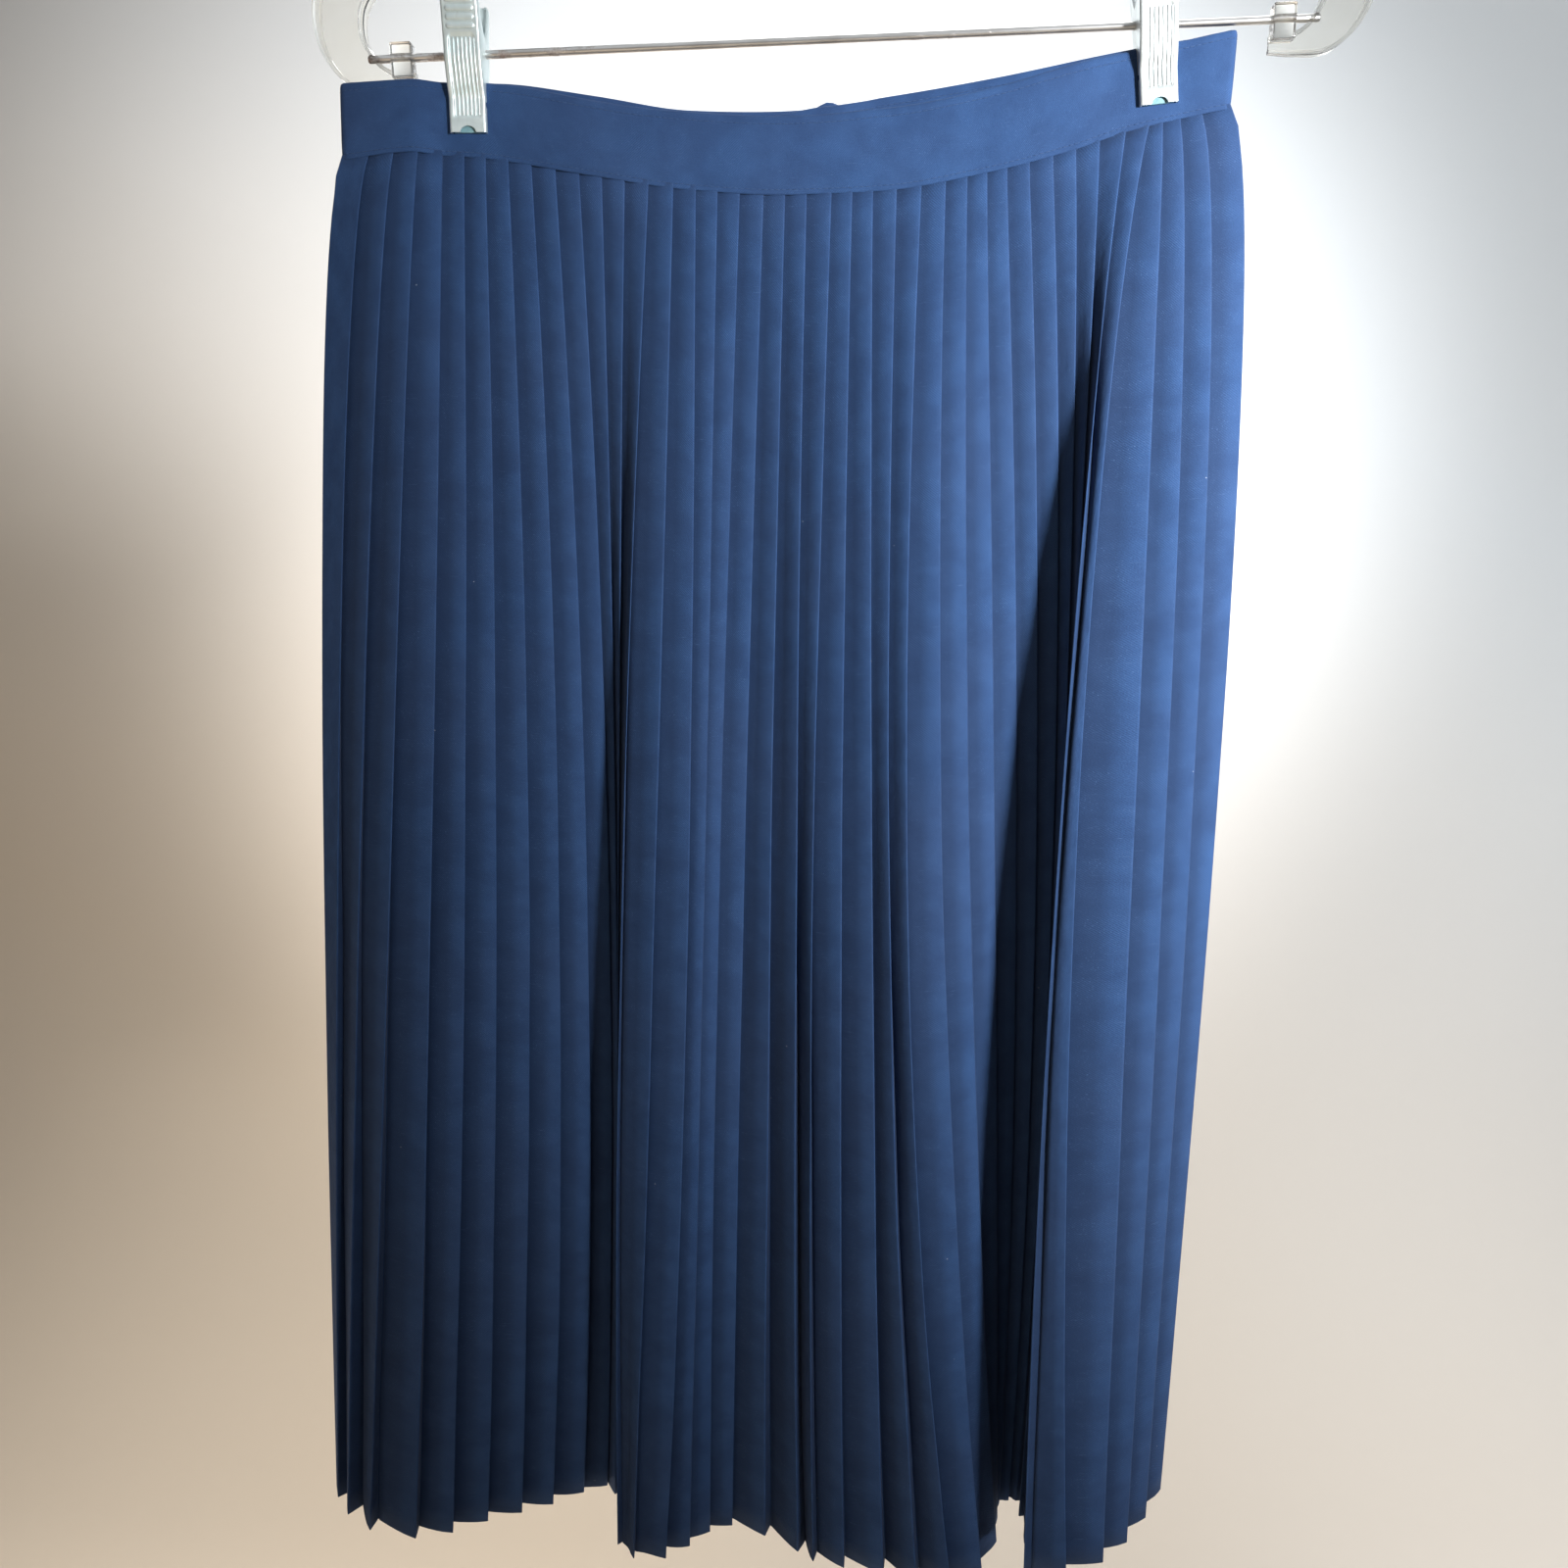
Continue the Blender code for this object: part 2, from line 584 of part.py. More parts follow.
def build_button():
    """A flat sewn button with a rim and four holes, on the overlap at the centre back."""
    across = through(BACK_FOLDS, "waist", CLOSURE_PLEAT) * MM - BUTTON_FROM_END
    bm = bmesh.new()
    verts = [bm.verts.new((row.radius * MM, 0, row.out * MM)) for row in BUTTON_SECTION]
    for a, b in zip(verts, verts[1:]):
        bm.edges.new((a, b))
    bmesh.ops.spin(bm, geom=bm.verts[:] + bm.edges[:], cent=(0, 0, 0), axis=(0, 0, 1),
                   angle=2 * math.pi, steps=24)
    bmesh.ops.remove_doubles(bm, verts=bm.verts, dist=1e-6)
    bmesh.ops.rotate(bm, matrix=Matrix.Rotation(math.radians(-90), 3, "X"), verts=bm.verts)
    where = (SKIRT_MIDDLE + across, half_gap(across) + BAND_WALL / 2 + GAP,
             seam_height(across, True) + BAND_HEIGHT / 2)
    button = add("button", mesh_of(bm, "button"), navy_button, None, where)
    for i, (x, z) in enumerate(((-1, -1), (1, -1), (-1, 1), (1, 1))):
        hole = cylinder_mesh(f"button_hole_{i}", BUTTON_HOLE_RADIUS, 8.0 * MM, 8, "Y",
                             (x * BUTTON_HOLE_OFF, 0, z * BUTTON_HOLE_OFF))
        boolean(button, hole, "DIFFERENCE")


# ---------------------------------------------------------------- hanger
def hanger_frame():
    frame = bpy.data.objects.new("hanger_frame", None)
    parts.objects.link(frame)
    frame.rotation_euler = (0.0, -TILT, 0.0)
    return frame


def smooth_points(rows, columns, per_step):
    """Points on a smooth curve through a table's rows, by row number."""
    numbered = [namedtuple("Numbered", ("row",) + rows[0]._fields)(i, *row) for i, row in enumerate(rows)]
    count = (len(rows) - 1) * per_step
    return [[through(numbered, column, i / per_step) * MM for column in columns] for i in range(count + 1)]


def build_hanger(frame):
    """Moulded shoulders: one flattened bar from lip to lip, with the neck's boss and the
    two blocks that hold the rod."""
    half = smooth_points(HANGER_ARM, ("x", "z", "half_depth"), 3)
    full = half + [[-x, z, depth] for x, z, depth in half[-2::-1]]
    points = [(x, 0.0, z) for x, z, depth in full]
    radii = [depth for x, z, depth in full]
    curve = wire_curve("hanger", points, 10.0 * MM, radii)
    hanger = mesh_from_curve(add("hanger", curve, None, frame))
    hanger.data.transform(Matrix.Diagonal((1.0, PLASTIC_FLATNESS, 1.0, 1.0)))
    hanger.data.materials.append(clear_plastic)
    neck = cylinder_mesh("hanger_neck", NECK_RADIUS, NECK_TOP - NECK_FOOT, 20, "Z",
                         (0, 0, (NECK_TOP + NECK_FOOT) / 2))
    boolean(hanger, neck, "UNION")
    for side, name in ((-1, "left"), (1, "right")):
        size = (SOCKET_OUTER - SOCKET_INNER, SOCKET_THICK, SOCKET_TOP + SOCKET_FOOT)
        centre = (side * (SOCKET_OUTER + SOCKET_INNER) / 2, 0, -ROD_DROP + (SOCKET_TOP - SOCKET_FOOT) / 2)
        boolean(hanger, box_mesh(f"socket_{name}", size, centre), "UNION")
        length = ROD_HALF + GAP - SOCKET_INNER + SOCKET_BORE_IN
        rod_bore = cylinder_mesh(f"rod_bore_{name}", ROD_RADIUS + GAP, length, 16, "X",
                                 (side * (ROD_HALF + GAP - length / 2), 0, -ROD_DROP))
        boolean(hanger, rod_bore, "DIFFERENCE")
    stem_bore = cylinder_mesh("stem_bore", HOOK_WIRE + GAP, 2 * (NECK_TOP - STEM_FOOT + GAP), 16, "Z",
                              (0, 0, NECK_TOP))
    boolean(hanger, stem_bore, "DIFFERENCE")


def build_hook(frame):
    """Wire hook: a stem out of the neck, a bend to the right and a round top."""
    centre_z = HOOK_WIRE - HOOK_RADIUS
    points = [(0, 0, STEM_FOOT), (0, 0, (STEM_FOOT + NECK_TOP) / 2), (0, 0, NECK_TOP + STEM_CLEAR)]
    stem_end = Vector((0.0, 0.0, NECK_TOP + STEM_RISE))
    arc_start = Vector((HOOK_RADIUS * math.cos(HOOK_START), 0, centre_z + HOOK_RADIUS * math.sin(HOOK_START)))
    leave = stem_end + Vector((0, 0, HOOK_LEAVE))
    arrive = arc_start - Vector((-math.sin(HOOK_START), 0, math.cos(HOOK_START))) * HOOK_ARRIVE
    for i in range(5):
        s = i / 5
        points.append(stem_end * (1 - s) ** 3 + leave * 3 * s * (1 - s) ** 2
                      + arrive * 3 * s * s * (1 - s) + arc_start * s ** 3)
    turns = 22
    for i in range(turns + 1):
        angle = HOOK_START + HOOK_SWEEP * i / turns
        points.append((HOOK_RADIUS * math.cos(angle), 0, centre_z + HOOK_RADIUS * math.sin(angle)))
    add("hook", wire_curve("hook", points, HOOK_WIRE), steel, frame)


def build_rod(frame):
    add("rod", cylinder_mesh("rod", ROD_RADIUS, 2 * ROD_HALF, 16, "X"), steel, frame, (0, 0, -ROD_DROP))


# ---------------------------------------------------------------- clips
def clip_profile():
    """Middle line of a clip's front plate from grip to jaw, as (out, up) from the rod."""
    jaw = CLIP_HALF_GAP + BAND_WALL / 2 + GAP + PAD_THICK + GAP + CLIP_SHEET / 2
    return [
        (CLIP_GRIP_SPREAD, CLIP_ABOVE),
        (CLIP_ROD_SPREAD + 1.0 * MM, 4.0 * MM),
        (CLIP_ROD_SPREAD, -5.0 * MM),
        (jaw + 1.6 * MM, -13.0 * MM),
        (jaw, -18.0 * MM),
        (jaw, -CLIP_BELOW),
    ]


def clip_plate(name, side, frame):
    """One pressed plate with its two lugs round the rod. side is -1 at the front."""
    profile = clip_profile()
    lines = []
    half = CLIP_WIDTH / 2
    for x in (-half, half):
        lines.append([(x, side * out, up) for out, up in profile])
    plate = add(name, sheet_mesh(name, lines), steel, frame)
    wall(plate, CLIP_SHEET)
    # The back plate's lugs stand inside the front plate's.
    inset = CLIP_SHEET + GAP if side > 0 else 0.0
    root = CLIP_ROD_SPREAD + 0.2 * MM
    blunt = 0.4 * LUG_TIP
    outline = [
        (side * root, -LUG_HEIGHT / 2), (side * root, LUG_HEIGHT / 2),
        (-side * blunt, LUG_TIP), (-side * LUG_TIP, blunt),
        (-side * LUG_TIP, -blunt), (-side * blunt, -LUG_TIP),
    ]
    for sign in (-1, 1):
        x = sign * (half - CLIP_SHEET / 2 - inset)
        bm = bmesh.new()
        near = [bm.verts.new((x - CLIP_SHEET / 2, y, z)) for y, z in outline]
        far = [bm.verts.new((x + CLIP_SHEET / 2, y, z)) for y, z in outline]
        bm.faces.new(near)
        bm.faces.new(far[::-1])
        for i in range(len(outline)):
            j = (i + 1) % len(outline)
            bm.faces.new((near[i], far[i], far[j], near[j]))
        boolean(plate, mesh_of(bm, f"{name}_lug"), "UNION")
    boolean(plate, cylinder_mesh(f"{name}_bore", CLIP_BORE, 2 * CLIP_WIDTH, 12, "X"), "DIFFERENCE")


def build_clip(name, along_rod, swivel, frame):
    """A clip on the rod, swung round by the swivel angle."""
    place = bpy.data.objects.new(f"clip_{name}_frame", None)
    parts.objects.link(place)
    place.parent = frame
    place.location = (along_rod, 0, -ROD_DROP)
    place.rotation_euler = (0.0, -swivel, 0.0)
    jaw_face = CLIP_HALF_GAP + BAND_WALL / 2 + GAP
    for side, word in ((-1, "front"), (1, "back")):
        clip_plate(f"clip_{name}_{word}", side, place)
        pad = box_mesh(f"pad_{name}_{word}", (PAD_WIDTH, PAD_THICK, PAD_HEIGHT))
        add(f"pad_{name}_{word}", pad, pad_rubber, place,
            (0, side * (jaw_face + PAD_THICK / 2), -CLIP_BELOW + PAD_HEIGHT / 2 - 0.2 * MM))
    build_spring(f"spring_{name}", place)


def build_spring(name, place):
    """The torsion spring as a plain sleeve round the rod."""
    inner = SPRING_RADIUS - SPRING_WALL
    bm = bmesh.new()
    half = SPRING_LENGTH / 2
    corners = [(half, SPRING_RADIUS), (half, inner), (-half, inner), (-half, SPRING_RADIUS)]
    verts = [bm.verts.new((x, 0, r)) for x, r in corners]
    for i in range(4):
        bm.edges.new((verts[i], verts[(i + 1) % 4]))
    bmesh.ops.spin(bm, geom=bm.verts[:] + bm.edges[:], cent=(0, 0, 0), axis=(1, 0, 0),
                   angle=2 * math.pi, steps=14)
    bmesh.ops.remove_doubles(bm, verts=bm.verts, dist=1e-6)
    add(name, mesh_of(bm, name), steel, place)


# ---------------------------------------------------------------- the object
for old in list(bpy.data.objects):
    bpy.data.objects.remove(old)
parts = bpy.data.collections.new("pleated_midi_skirt")
cutters = bpy.data.collections.new("cutters")
bpy.context.scene.collection.children.link(parts)
bpy.context.scene.collection.children.link(cutters)

navy = material("navy_wool_twill", (0.030, 0.055, 0.150), 0.85)
navy_button = material("navy_button", (0.012, 0.018, 0.045), 0.35)
zip_tape = material("navy_zip_tape", (0.018, 0.026, 0.060), 0.80)
dark_metal = material("enamelled_zip_metal", (0.025, 0.035, 0.075), 0.35, 0.6)
clear_plastic = material("clear_plastic", (0.93, 0.90, 0.82), 0.10, 0.0, 0.35)
steel = material("plated_steel", (0.72, 0.73, 0.71), 0.30, 1.0)
pad_rubber = material("teal_rubber", (0.16, 0.36, 0.35), 0.70)

build_panels()
build_waistband()
build_zip()
zip_frame = closure_frame()
build_pull(zip_frame, build_slider(zip_frame))
build_button()
tilted = hanger_frame()
build_hanger(tilted)
build_hook(tilted)
build_rod(tilted)
build_clip("left", LEFT_CLIP, LEFT_SWIVEL, tilted)
build_clip("right", RIGHT_CLIP, RIGHT_SWIVEL, tilted)
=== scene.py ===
"""The finished look of a pleated midi skirt hanging from a clip hanger.

Metres, +Z up, +X to the wearer's left, -Y the skirt's front. The origin is where the
hanger's hook rests on whatever holds it up.
"""

import math
from collections import namedtuple
from functools import lru_cache

import bmesh
import bpy
from mathutils import Matrix, Vector


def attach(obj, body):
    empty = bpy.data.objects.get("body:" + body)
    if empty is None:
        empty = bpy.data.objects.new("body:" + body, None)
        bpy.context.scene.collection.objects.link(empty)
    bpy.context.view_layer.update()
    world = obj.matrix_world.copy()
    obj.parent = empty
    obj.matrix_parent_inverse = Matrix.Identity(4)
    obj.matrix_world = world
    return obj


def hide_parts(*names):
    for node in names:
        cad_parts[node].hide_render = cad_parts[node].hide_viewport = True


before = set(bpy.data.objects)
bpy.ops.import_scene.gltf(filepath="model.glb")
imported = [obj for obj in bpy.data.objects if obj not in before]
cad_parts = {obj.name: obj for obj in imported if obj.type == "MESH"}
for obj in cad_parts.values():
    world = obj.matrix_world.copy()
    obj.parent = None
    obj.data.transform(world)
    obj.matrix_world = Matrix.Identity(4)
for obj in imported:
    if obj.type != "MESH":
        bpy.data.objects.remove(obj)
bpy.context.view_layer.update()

MM = 0.001

# ---------------------------------------------------------------- sizes
TILT = math.radians(3.2)
ROD_DROP = 167.2 * MM
ROD_RADIUS = 1.6 * MM
ROD_HALF = 195.0 * MM

SKIRT_MIDDLE = -12.0 * MM
SEAM_HEIGHT = -205.4 * MM
WAIST_WIDTH = 366.0 * MM
CLOTH_LENGTH = 661.0 * MM
CLOTH_THICK = 0.42 * MM
PLEATS = 39
PLEAT_CLOTH = 22.5 * MM        # cloth taken by one pleat, face and underlay
PLEAT_DEPTH_BAND = 0.8 * MM
PLEAT_DEPTH_WAIST = 1.7 * MM
PLEAT_DEPTH_HEM = 8.0 * MM
UNDERLAY_WAIST = 5.8 * MM      # how far a pleat's inner fold lies behind the face beside it
UNDERLAY_HEM = 0.8 * MM
PLEAT_INNER_FOLD = 0.335       # share of a pleat's cloth from its crest to its inner fold
HALF_GAP_WAIST = 2.2 * MM
IN_BAND = 0.65 * MM            # the crests' middle outside the band's middle
SIDE_GAP = 0.32 * MM
CLOTH_ROWS = 62
ROW_POWER = 1.15               # rows lie closer near the waist
CLOTH_TUCK = 2.0 * MM          # how far the cloth runs up inside the band
BAND_HOLD = 0.02               # share of the fall over which the band still shapes the cloth
DEPTH_POWER = 0.8              # how early in its fall the cloth comes forward

BAND_HEIGHT = 30.0 * MM
BAND_THICK = 2.0 * MM
BAND_SHEET = 0.5 * MM
BAND_FACE_OUT = (BAND_THICK - BAND_SHEET) / 2
BAND_FOLD_FROM = 29            # mm up the band, where its fold begins
BAND_UNDERLAP = 30.0 * MM
BAND_END_FOLD = 2.4 * MM
BAND_STEP = 2.5 * MM
OVERLAP_RISE = 1.0 * MM
OVERLAP_RUN = 14.0 * MM
UNDERLAP_DROP = 2.4 * MM       # how much lower the band's hidden end is trimmed
UNDERLAP_DROP_RUN = 24.0 * MM
HUMP_RISE = 2.3 * MM           # the band's outer end stands up in a small hump
HUMP_FROM_END = 4.5 * MM
HUMP_HALF = 7.0 * MM

CLOSURE_PLEAT = 17
PLACKET_END = 0.262
PLACKET_CLOSED = 0.278
ZIP_CHAIN_HALF = 2.5 * MM

# How far the band's seam hangs under the straight line between its ends.
Sag = namedtuple("Sag", "across front back")
BAND_SAG = [
    Sag(-183, 3.2, 3.2), Sag(-153, 0.8, 1.6), Sag(-130, 2.3, 2.8), Sag(-80, 11.6, 8.8), Sag(-39, 18.9, 14.9),
    Sag(5, 22.8, 17.6), Sag(23.5, 22.9, 17.6), Sag(43, 22.6, 16.0), Sag(84, 17.2, 11.0), Sag(119, 9.5, 5.6),
    Sag(142, 2.8, 2.4), Sag(163, -1.2, -0.8), Sag(183, -4.1, -4.1),
]
# How much the band's worn fold stands over its even height.
Stretch = namedtuple("Stretch", "across front back")
BAND_STRETCH = [
    Stretch(-183, -0.8, -0.8), Stretch(-158, -2.4, -1.6), Stretch(-133, -1.4, -0.6), Stretch(-108, -0.5, 0.4),
    Stretch(-70, -1.2, -0.5), Stretch(-45, -0.5, -1.0), Stretch(-7, 0.0, 0.0), Stretch(17, 0.2, 0.6),
    Stretch(43, 1.5, 2.3), Stretch(80, 1.9, 1.9), Stretch(118, 2.9, 1.3), Stretch(143, 0.3, 1.2),
    Stretch(168, -0.7, 0.4), Stretch(183, -0.6, -0.6),
]
Bow = namedtuple("Bow", "across half_gap forward")
BAND_BOW = [
    Bow(-183, 2.3, 5.4), Bow(-168, 2.2, 5.5), Bow(-154, 1.9, 5.0), Bow(-141, 1.15, 0.0),
    Bow(-120, 1.15, 0.0), Bow(-85, 3.0, 0.0), Bow(15, 5.5, 0.0), Bow(105, 3.0, 0.0),
    Bow(139, 1.15, 0.0), Bow(162, 1.15, 0.0), Bow(174, 2.0, 0.0), Bow(183, 2.2, 0.0),
]
Fold = namedtuple("Fold", "pleat waist bend hem depth opening")
FRONT_FOLDS = [
    Fold(0, -183, 0, -221, 0, 0.3),
    Fold(1, -171.5, 0, -216, -10, 0.8),
    Fold(3, -151.5, 3, -190, -32, 1.0),
    Fold(4, -142.5, 4, -165.5, -35, 1.0),
    Fold(6, -124.5, 5, -132.5, -20, 1.0),
    Fold(8, -105, 8, -102, -4, 1.0),
    Fold(10, -84.5, 7, -76, 14, 0.4),
    Fold(11.5, -70, 1, -69, 6, 0.3),
    Fold(13, -55, -5, -64, -20, 0.3),
    Fold(14, -44.5, 1, -54.5, -27, 0.6),
    Fold(15, -35, 4, -38, -25, 1.0),
    Fold(17, -16.5, -2.5, -17, -5, 0.8),
    Fold(18, -6.5, -1.5, -6, 0, 0.8),
    Fold(20, 11.5, -2, 30, -15, 1.0),
    Fold(21, 21.8, -3.5, 38, -21, 1.0),
    Fold(23, 39, -1.5, 74, -28, 1.0),
    Fold(25, 59, -12, 107.5, -36, 1.0),
    Fold(26, 69, -8.5, 124, -28, 0.8),
    Fold(27, 77.8, -4.5, 133.5, -12, 0.4),
    Fold(29, 94, 7, 138, 11, 0.2),
    Fold(31, 112.5, 9, 146, 8, 0.4),
    Fold(33, 131.5, 0, 145, -26, 0.3),
    Fold(34, 142, -8, 141, -47, 0.5),
    Fold(35, 151.5, -15.5, 160.5, -50, 1.0),
    Fold(36, 156.5, -3, 180, -43, 1.0),
    Fold(38, 171.5, 2.5, 207, -17, 0.9),
    Fold(39, 183, 3, 219, 0, 0.3),
]
BACK_FOLDS = [
    Fold(0, 183, 3, 219, 0, 0.3),
    Fold(1.7, 167, 2, 202, 17, 0.9),
    Fold(4.2, 143.6, 0, 172, 36, 1.0),
    Fold(7.2, 115.4, 0, 139, 42, 1.0),
    Fold(12.2, 68.5, 0, 79, 21, 1.0),
    Fold(17, 23.5, 0, 24, 40, 1.0),
    Fold(21.6, -19.7, 0, -28, 22, 1.0),
    Fold(26.2, -62.9, 0, -81, 41, 1.0),
    Fold(31, -107.9, 0, -136, 22, 1.0),
    Fold(34.7, -142.6, 0, -180, 33, 1.0),
    Fold(37.3, -167, 0, -205, 16, 0.9),
    Fold(39, -183, 0, -221, 0, 0.3),
]

# The pressed pleat's section, by its share of the pleat's cloth from one crest to the next:
# how deep it lies while the pleat is closed, and once it stands open.
PLEAT_COLUMNS = [0, 0.02, 0.06, 0.14, 0.24, 0.30, 0.335, 0.37, 0.43, 0.54, 0.68, 0.82, 0.92, 0.98]
PLEAT_CLOSED = [(0, 0), (0.03, 0.2), (0.1, 0.35), (0.2, 0.6), (0.3, 0.85), (0.335, 0.95), (0.37, 1),
                (0.64, 1), (0.70, 0.62), (0.78, 0.32), (0.88, 0.12), (1, 0)]
PLEAT_OPEN = [(0, 0), (0.335, 1), (0.45, 0.80), (0.6, 0.52), (0.8, 0.22), (1, 0)]
# Painted shade, by the same share: the cloth under the next face and beside each fold's step is darkened as
# if in the fold's shadow.
PLEAT_FOLD_SHADE = [(0, 0), (0.02, 0.4), (0.06, 1), (0.60, 1), (0.70, 0.8), (0.78, 0.3), (0.87, 0), (1, 0)]
# Where the crests lie, painted lighter: partly wear, partly a painted shine.
PLEAT_PRESS = [(0, 1), (0.03, 0.35), (0.09, 0), (0.90, 0), (0.965, 0.4), (1, 1)]


# ---------------------------------------------------------------- helpers
@lru_cache(maxsize=None)
def smooth_line(rows, column):
    """The table's keys, values and slopes for a curve that turns only at the rows."""
    keys = [row[0] for row in rows]
    values = [getattr(row, column) for row in rows]
    steps = [keys[i + 1] - keys[i] for i in range(len(keys) - 1)]
    rises = [(values[i + 1] - values[i]) / steps[i] for i in range(len(steps))]
    slopes = [rises[0]]
    for before, after in zip(rises, rises[1:]):
        slopes.append(2 * before * after / (before + after) if before * after > 0 else 0.0)
    slopes.append(rises[-1])
    return keys, values, steps, slopes


def cubic(first, rise, start, end, s):
    """A curve's value at a share s of a step that rises by rise, from its slopes at both ends."""
    return first + start * s + (rise * 3 - start * 2 - end) * s * s + (start + end - rise * 2) * s ** 3


def through(rows, column, at):
    keys, values, steps, slopes = smooth_line(tuple(rows), column)
    at = min(max(at, keys[0]), keys[-1])
    i = max(k for k in range(len(steps)) if keys[k] <= at)
    step = steps[i]
    return cubic(values[i], values[i + 1] - values[i], slopes[i] * step, slopes[i + 1] * step,
                 (at - keys[i]) / step)


def mix(a, b, share):
    return a + (b - a) * share


def ease(share):
    share = min(max(share, 0.0), 1.0)
    return share * share * (3 - 2 * share)


class Field:
    """An output of a node, which takes part in sums."""

    def __init__(self, graph, socket):
        self.graph = graph
        self.socket = socket

    def __add__(self, other):
        return self.graph.math("ADD", self, other)

    def __sub__(self, other):
        return self.graph.math("SUBTRACT", self, other)

    def __rsub__(self, other):
        return self.graph.math("SUBTRACT", other, self)

    def __mul__(self, other):
        return self.graph.math("MULTIPLY", self, other)

    def __truediv__(self, other):
        return self.graph.math("DIVIDE", self, other)


class Outputs:
    """A node's outputs, by number or name."""

    def __init__(self, graph, node):
        self.graph = graph
        self.node = node

    def __getitem__(self, key):
        return Field(self.graph, self.node.outputs[key])


class Graph:
    """A node tree being built, for geometry or for a material."""

    def __init__(self, tree):
        self.tree = tree

    def node(self, kind, feeds=None, **settings):
        made = self.tree.nodes.new(kind)
        for key, value in settings.items():
            setattr(made, key, value)
        self.feed(made, feeds or {})
        return Outputs(self, made)

    def made(self, kind, feeds=None, **settings):
        """What a new geometry node gives."""
        return self.node("GeometryNode" + kind, feeds, **settings)[0]

    def feed(self, node, feeds):
        for key, value in feeds.items():
            if isinstance(value, Field):
                self.tree.links.new(value.socket, node.inputs[key])
            else:
                node.inputs[key].default_value = value

    def math(self, operation, *values, clamp=False):
        return self.node("ShaderNodeMath", dict(enumerate(values)), operation=operation, use_clamp=clamp)[0]

    def sine(self, place, wave):
        """A sine along a coordinate, by its wave's length."""
        return self.math("SINE", place * (2 * math.pi / wave))

    def vector(self, operation, *values):
        return self.node("ShaderNodeVectorMath", dict(enumerate(values)), operation=operation)[0]

    def scaled(self, vector, factor):
        return self.node("ShaderNodeVectorMath", {0: vector, 3: factor}, operation="SCALE")[0]

    def length(self, vector):
        return self.node("ShaderNodeVectorMath", {0: vector}, operation="LENGTH")[1]

    def triple(self, x, y, z=0.0):
        return self.node("ShaderNodeCombineXYZ", {0: x, 1: y, 2: z})[0]

    def split(self, vector):
        return self.node("ShaderNodeSeparateXYZ", {0: vector})

    def curve(self, value, points):
        """The value read on a line through the points, straight between them."""
        made = self.node("ShaderNodeFloatCurve", {"Value": value})
        line = made.node.mapping.curves[0]
        line.points[0].location = points[0]
        line.points[1].location = points[-1]
        for point in points[1:-1]:
            line.points.new(*point)
        for point in line.points:
            point.handle_type = "VECTOR"
        made.node.mapping.update()
        return made[0]

    def noise(self, vector, scale, detail=2.0, roughness=0.5):
        return self.node("ShaderNodeTexNoise", {
            "Vector": vector, "Scale": scale, "Detail": detail, "Roughness": roughness})[0]

    def ramp(self, value, low, high, bottom=0.0, top=1.0):
        return self.node("ShaderNodeMapRange", {0: value, 1: low, 2: high, 3: bottom, 4: top})[0]

    def between(self, share, low, high):
        """A number between two, by share."""
        return self.node("ShaderNodeMix", {0: share, 2: low, 3: high})[0]

    def tint(self, share, low, high):
        """A colour between two, by share."""
        low, high = (value if isinstance(value, Field) else (*value, 1.0) for value in (low, high))
        return self.node("ShaderNodeMix", {0: share, 6: low, 7: high}, data_type="RGBA")[2]

    def bump(self, height, distance, strength, **below):
        return self.node("ShaderNodeBump", {
            "Height": height, "Distance": distance, "Strength": strength, **below})[0]


def geometry_tree(name, inputs):
    """A new geometry tree's graph and its named inputs, with the piece's material last."""
    tree = bpy.data.node_groups.new(name, "GeometryNodeTree")
    for label, kind in {"Geometry": "Geometry", **inputs, "Material": "Material"}.items():
        tree.interface.new_socket(label, in_out="INPUT", socket_type=f"NodeSocket{kind}")
    tree.interface.new_socket("Geometry", in_out="OUTPUT", socket_type="NodeSocketGeometry")
    graph = Graph(tree)
    return graph, graph.node("NodeGroupInput")


def finish_tree(graph, geometry, given):
    """End the tree in real, smooth faces of the given material."""
    real = graph.made("RealizeInstances", {0: geometry})
    smooth = graph.made("SetShadeSmooth", {"Geometry": real})
    coloured = graph.made("SetMaterial", {"Geometry": smooth, "Material": given["Material"]})
    graph.node("NodeGroupOutput", {0: coloured})
    return graph.tree


def linked(name, data):
    """A new object in the scene."""
    made = bpy.data.objects.new(name, data)
    bpy.context.scene.collection.objects.link(made)
    return made


def thickened(piece, thick, offset=0.0):
    solid = piece.modifiers.new("sheet", "SOLIDIFY")
    solid.thickness = thick
    solid.offset = offset


def baked(piece):
    """The mesh that the piece's modifiers make."""
    graph = bpy.context.evaluated_depsgraph_get()
    return bpy.data.meshes.new_from_object(
        piece.evaluated_get(graph), preserve_all_data_layers=True, depsgraph=graph)


def grown(name, guide, tree, mat, inputs, thick=0.0):
    """What the tree makes of the guide mesh, as a plain mesh."""
    inputs["Material"] = mat
    base = linked(f"{name}_guide", guide)
    nodes = base.modifiers.new("nodes", "NODES")
    nodes.node_group = tree
    for item in tree.interface.items_tree:
        if item.in_out == "INPUT" and item.name in inputs:
            nodes[item.identifier] = inputs[item.name]
    if thick:
        thickened(base, thick)
    data = baked(base)
    data.name = name
    bpy.data.objects.remove(base)
    return data


def show(name, data, mat, slot, *replaces, body="skirt"):
    """Put a finished mesh in the scene as a piece that rides on a body."""
    if mat:
        data.materials.append(mat)
    piece = linked(name, data)
    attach(piece, body)
    if replaces:
        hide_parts(*replaces)
    return piece


# ---------------------------------------------------------------- materials
def material(name):
    """A new material, its graph and the object's own coordinates."""
    mat = bpy.data.materials.new(name)
    mat.use_nodes = True
    g = Graph(mat.node_tree)
    return mat, g, g.node("ShaderNodeTexCoord")["Object"]


def painted(mat, g, looks):
    g.feed(mat.node_tree.nodes["Principled BSDF"], looks)
    return mat


